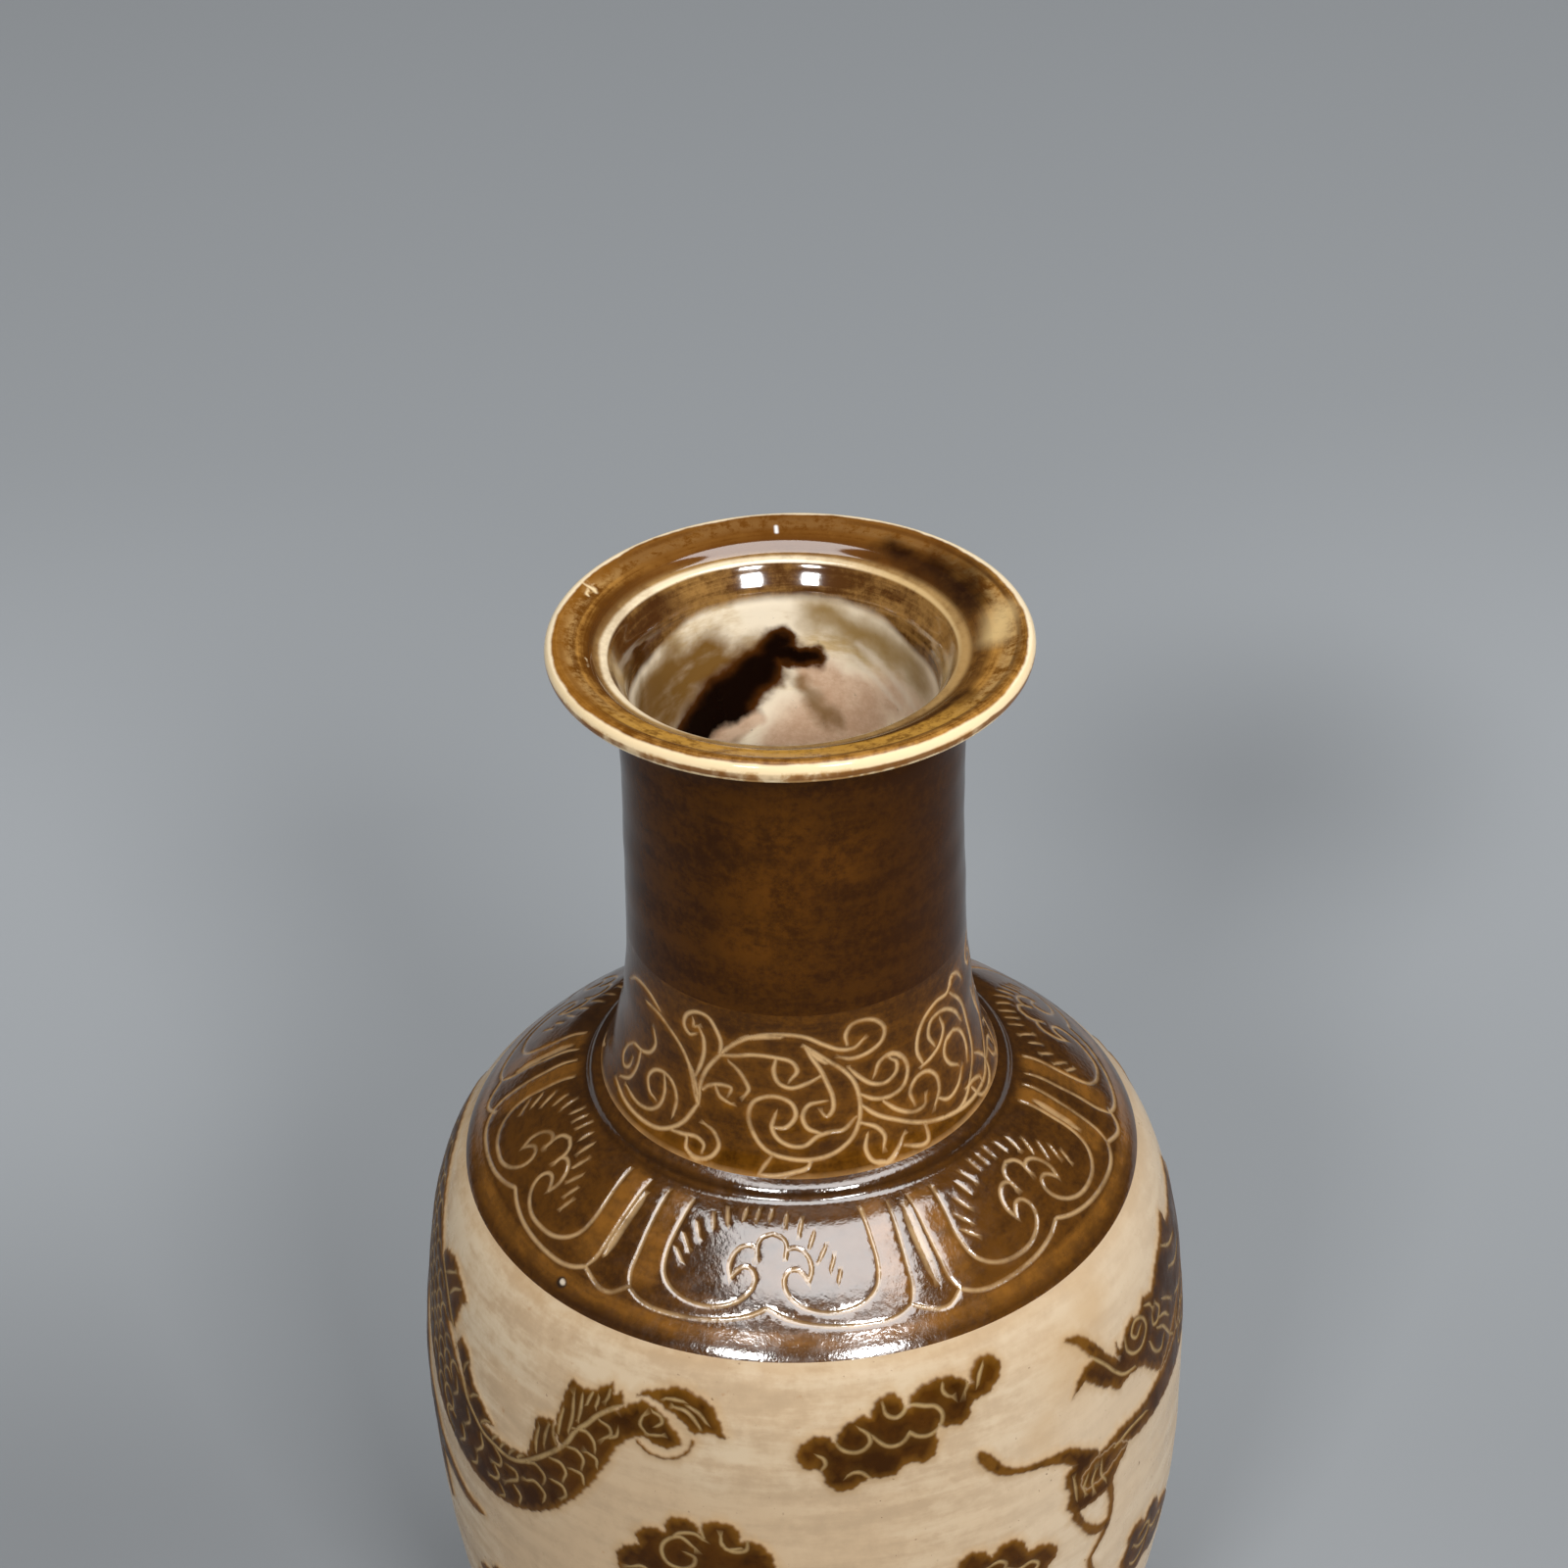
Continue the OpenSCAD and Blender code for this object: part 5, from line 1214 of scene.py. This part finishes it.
class BOTTLE_OT_body(bpy.types.Operator):
    """Body in cream slip with a raised dragon and clouds"""

    bl_idname = "bottle.body"
    bl_label = "Body"

    def execute(self, context):
        size = sizes()
        surface = Turned(BODY_ROWS)
        carving = Carving(surface)
        w, d = size.line_width, size.line_depth

        def put(path, at):
            return [(a + at[0], t + at[1]) for a, t in path]

        for places, parts in CLOUDS:
            for a, t in places:
                for outline, lines, (da, dt) in parts:
                    carving.shape(put(outline, (a + da, t + dt)))
                    for path in lines:
                        carving.line(put(path, (a + da, t + dt)), w, d)
        for path in (LEAF, KNOB, HEAD, JAW, PAW, *FINS):
            carving.shape(path)
        for path in (DRAGON, KNOB_EDGE, *LIMBS):
            carving.shape(self.sides(surface, path), 0.16 if path is DRAGON else 0.09)
        carving.line(BACK_LINE, w * 1.25, d)
        for path in (*TAIL_LINES, *SCALE_LINES, *FIN_LINES, *HEAD_LINES, *PAW_LINES):
            carving.line(path, w * 0.9, d)
        self.scales(surface, carving, w, d)

        def lift(carving, v):
            depth, _ = groove(carving, v)
            v["on"] = raised(carving, v)
            rise = size.relief * soft(v["on"] / 1.1 + 0.5) - depth * (v["on"] > -0.1)
            return wobble(v["flat"][:, 0], v["t"]) * ends(v, 0, BODY_END) * 1.2 + rise

        def marks(carving, v):
            _, cream = groove(carving, v)
            on = soft(v["on"] / 0.8 + 0.5)
            return {"line": cream * soft(v["on"] / 0.5 + 0.5), "figure": on,
                    "rim": soft((1.5 - np.abs(v["on"] - 0.2)) / 1.5), "near": soft((1.6 - v["line"]) / 1.6)
                    * on}

        piece = carved_mesh("body", carving, 0, BODY_END, size.mesh_step * 1.35, size.turns, lift, marks)
        settle(piece, self.material())
        return {"FINISHED"}

    def sides(self, surface, path):
        """Closed outline of a band along (degrees, mm, half width) points."""
        p = np.array(path, float)
        k = np.radians(np.interp(p[:, 1], surface.t, surface.r))
        d = np.gradient(p[:, :2], axis=0)
        d[:, 0] *= k
        n = np.column_stack([-d[:, 1], d[:, 0]]) / np.hypot(*d.T)[:, None] * p[:, 2:3]
        n[:, 0] /= k
        return [tuple(v) for v in np.vstack([p[:, :2] + n, (p[:, :2] - n)[::-1]])]

    def scales(self, surface, carving, w, d):
        """Rows of scales along the dragon's back."""
        p = np.array(DRAGON, float)
        k = np.radians(np.interp(p[:, 1], surface.t, surface.r))
        length = running(np.hypot(np.diff(p[:, 0]) * halfway(k), np.diff(p[:, 1])))

        def at(u, v):
            """A point u mm along the back and v mm across it."""
            c = [np.interp(u, length, p[:, j]) for j in range(3)]
            e = [np.interp(u + 1.5, length, p[:, j]) - np.interp(u - 1.5, length, p[:, j])
                 for j in range(2)]
            kk = math.radians(float(np.interp(c[1], surface.t, surface.r)))
            dx, dy = e[0] * kk, e[1]
            m = math.hypot(dx, dy) or 1
            return (c[0] - dy / m * v / kk, c[1] + dx / m * v, c[2])

        u, row = 6.0, 0
        while u < length[-1] - 30:
            half = float(np.interp(u, length, p[:, 2])) - 1.2
            size = 2.3 if half < 5 else 2.7
            count = int(half * 2 / (size * 1.75))
            for j in range(count):
                v = -half + (j + 0.5 + (0.5 if row % 2 else 0)) * half * 2 / max(count, 1)
                if abs(v) + size * 0.6 > half:
                    continue
                arc = [at(u + size * 0.9 * math.cos(b) - 0.4, v + size * 0.85 * math.sin(b))[:2]
                       for b in (-1.75, -1.1, -0.4, 0.4, 1.1, 1.75)]
                if -66 > arc[2][0] > -286:
                    carving.line(arc, w * 0.8, d, spacing=0.55)
            u += size * 1.25
            row += 1

    def material(self):
        c = colours()
        s = Shader("body_slip")
        figure, line, rim = s.attribute("figure"), s.attribute("line"), s.attribute("rim")
        near = s.attribute("near")
        ground = slip(s, c)
        stain = s.spots([(56, -57, 184, 6, 13), (50, -64, 172, 3, 9), (60, -50, 190, 4, 8)],
                        s.ragged(0.02, 40))
        upper = s.spread(s.axes()[2], 0.1955, 0.1985) * 0.25
        ground = s.paint(ground, [
            (tuple(c.tan), s.maths("ADD", stain * 0.5, upper, True)),
            ((0.36, 0.215, 0.085), rim * (1.0 - figure) * 0.6)])
        patchy = s.noise(130, 4, 0.65)
        glaze = s.blend((0.030, 0.0095, 0.0009), (0.064, 0.0215, 0.0016),
                        s.spread(patchy * 0.6 + s.noise(30, 3, 0.5) * 0.4, 0.38, 0.62))
        glaze = s.paint(glaze, [
            ((0.150, 0.062, 0.007), rim * s.spread(patchy, 0.3, 0.6, 0.4, 0.9)),
            ((0.105, 0.044, 0.005), near * 0.5),
            ((0.32, 0.215, 0.095), line * s.spread(patchy, 0.3, 0.6, 0.45, 0.95))])
        colour = s.blend(ground, glaze, figure)
        roughness = s.spread(s.noise(200, 4, 0.6), 0.3, 0.7, 0.24, 0.4)
        ripple = s.bump(s.noise(90, 4, 0.6), 0.16, 0.0004)
        return s.finish(colour, roughness, ripple, ior=1.15)


class BOTTLE_OT_foot(bpy.types.Operator):
    """Lower body, foot ring and the body's inside"""

    bl_idname = "bottle.foot"
    bl_label = "Foot and inside"

    def execute(self, context):
        outer = Turned(BODY_ROWS).profile(BODY_END, FOOT_END, 40)
        foot = rounded([(54.0, 6.2), (52.9, 5.2), (52.4, 4.2)], 0.6) + [(52.4, 1.2), (52.2, 0.6),
                                                                        (51.7, 0.15), (51.2, 0), (45.8, 0),
                                                                        (45.2, 0.2), (44.9, 0.8),
                                                                        (44.4, 3.6), (43.6, 4.5), (30, 4.9),
                                                                        (12, 5.0), (0, 5.0)]
        piece = spun_piece("foot", outer + foot, sizes().turns)
        s = Shader("foot_slip")
        c = colours()
        ground = slip(s, c)
        ground = s.blend((0.42, 0.29, 0.17), ground, s.spread(s.axes()[2], 0.0052, 0.0068))
        settle(piece, s.finish(ground, s.spread(s.noise(200, 4, 0.6), 0.3, 0.7, 0.26, 0.42),
                               s.bump(s.noise(90, 4, 0.6), 0.16, 0.0004)))
        inside_rows = rounded([(37.2, 224), (40.5, 219), (46, 214.6), (54, 210.5), (62, 204.2), (69, 197),
                               (74.5, 189), (78, 178), (80.6, 160), (81.5, 133), (80.4, 108), (76.5, 84),
                               (70.5, 62), (63, 42), (56, 26), (49, 15.5), (40, 12.9), (20, 12.9),
                               (0, 13.0)], 3.0)
        hollow = spun_piece("inside", inside_rows, 160)
        hollow.data.flip_normals()
        s = Shader("inside_slip")
        settle(hollow, s.finish(s.blend((0.34, 0.22, 0.12), (0.52, 0.37, 0.22),
                                        s.spread(s.noise(20, 4, 0.6), 0.35, 0.65)),
                                s.spread(s.noise(120, 3, 0.5), 0.3, 0.7, 0.4, 0.6)))
        return {"FINISHED"}


class BOTTLE_OT_stage(bpy.types.Operator):
    """Floor with painted pools of light and painted shadows, studio lights and the camera"""

    bl_idname = "bottle.stage"
    bl_label = "Stage"

    def execute(self, context):
        bpy.ops.object.select_all(action="DESELECT")
        bpy.ops.mesh.primitive_circle_add(vertices=96, radius=4.0, fill_type="NGON", location=(0, 0, 0))
        floor = bpy.context.active_object
        floor.name = "floor"
        s = Shader("floor_with_painted_light_and_shade")

        def grey(share):
            return tuple(v * share for v in colours().floor)

        paint = s.blend(grey(0.96), grey(1.0), s.noise(1.3, 2, 0.5))
        paint = s.paint(paint, [
            # Painted pools of light on the floor, one to each side behind the bottle
            (grey(1.12), s.spots([(-300, 440, 0, 150, 150), (300, 470, 0, 150, 150)])),
            # Painted shadows: darker floor patches at the bottle's left, behind it on the right and at its
            # right
            (grey(0.70), s.spot((-215, 60, 0), 110, 110)),
            (grey(0.88), s.spots([(155, 440, 0, 60, 80), (230, 60, 0, 80, 110)]))])
        floor.data.materials.append(s.finish(paint, 0.6))
        self.lamp("left_softbox", (-21, 35), 4.8, (0.75, 0.75), 76)
        self.lamp("right_softbox", (21, 35), 4.8, (0.95, 0.95), 108)
        self.lamp("top_softbox", (0, 79), 4.6, (4.0, 4.1), 176, 0.44)
        for name, turn, power in (("right_fill", 75, 104), ("left_fill", -75, 32)):
            self.lamp(name, (turn, 8), 4.8, (1.6, 1.6), power)
            bpy.data.objects[name].visible_glossy = False
        world = bpy.data.worlds.new("studio")
        bpy.context.scene.world = world
        world.use_nodes = True
        back = world.node_tree.nodes["Background"]
        back.inputs["Color"].default_value = (0.80, 0.86, 0.93, 1)
        back.inputs["Strength"].default_value = 0.025
        self.camera()
        bpy.context.scene.view_settings.view_transform = "Standard"
        return {"FINISHED"}

    def lamp(self, name, aim, reach, size, power, shift=0.0):
        """A softbox at (degrees round from the front, degrees up) that faces the bottle, moved by shift."""
        data = bpy.data.lights.new(name, "AREA")
        data.shape = "RECTANGLE"
        data.size, data.size_y = size
        data.energy = power
        lamp = bpy.data.objects.new(name, data)
        round_by, up = (math.radians(v) for v in aim)
        away = Vector((math.cos(up) * math.sin(round_by), -math.cos(up) * math.cos(round_by), math.sin(up)))
        lamp.location = Vector((shift, 0, 0.25)) + away * reach
        lamp.rotation_euler = (-away).to_track_quat("-Z", "Y").to_euler()
        bpy.context.scene.collection.objects.link(lamp)

    @staticmethod
    def swing(a, b, angle):
        """Two square directions, turned by an angle in their own plane."""
        return a * math.cos(angle) + b * math.sin(angle), b * math.cos(angle) - a * math.sin(angle)

    def camera(self):
        """Looks down on the mouth as the photograph does."""
        reach, tip = 716.6, math.radians(31.18)
        pan, tilt, roll = (math.radians(v) for v in (-0.148, 2.497, -1.319))
        place = Vector((0, -reach * math.cos(tip), 330 + reach * math.sin(tip))) * MM
        ahead = Vector((0, math.cos(tip), -math.sin(tip)))
        right = Vector((1, 0, 0))
        up = right.cross(ahead)
        ahead, right = self.swing(ahead, right, pan)
        ahead, up = self.swing(ahead, up, -tilt)
        right, up = self.swing(right, up, roll)
        data = bpy.data.cameras.new("camera")
        data.sensor_fit = "HORIZONTAL"
        data.sensor_width = 36
        data.lens = 81
        data.clip_start, data.clip_end = 0.05, 20
        camera = bpy.data.objects.new("camera", data)
        turn = Matrix((right, up, -ahead)).transposed().to_4x4()
        camera.matrix_world = Matrix.Translation(place) @ turn
        bpy.context.scene.collection.objects.link(camera)
        bpy.context.scene.camera = camera


class BOTTLE_PT_panel(bpy.types.Panel):
    bl_idname = "BOTTLE_PT_panel"
    bl_label = "Stoneware bottle"
    bl_space_type = "VIEW_3D"
    bl_region_type = "UI"
    bl_category = "Bottle"

    def draw(self, context):
        for group in (context.scene.bottle_sizes, context.scene.bottle_colours):
            box = self.layout.box()
            for key in group.__annotations__:
                box.prop(group, key)
        for operator in OPERATORS:
            self.layout.operator(operator.bl_idname)


OPERATORS = (BOTTLE_OT_mouth, BOTTLE_OT_scroll, BOTTLE_OT_shoulder, BOTTLE_OT_body, BOTTLE_OT_foot,
             BOTTLE_OT_stage)
CLASSES = (BottleSizes, BottleColours, *OPERATORS, BOTTLE_PT_panel)


def register():
    for cls in CLASSES:
        bpy.utils.register_class(cls)
    bpy.types.Scene.bottle_sizes = bpy.props.PointerProperty(type=BottleSizes)
    bpy.types.Scene.bottle_colours = bpy.props.PointerProperty(type=BottleColours)


def unregister():
    del bpy.types.Scene.bottle_colours
    del bpy.types.Scene.bottle_sizes
    for cls in reversed(CLASSES):
        bpy.utils.unregister_class(cls)


def main():
    register()
    bpy.ops.bottle.mouth()
    bpy.ops.bottle.scroll()
    bpy.ops.bottle.shoulder()
    bpy.ops.bottle.body()
    bpy.ops.bottle.foot()
    bpy.ops.bottle.stage()


if __name__ == "__main__":
    main()
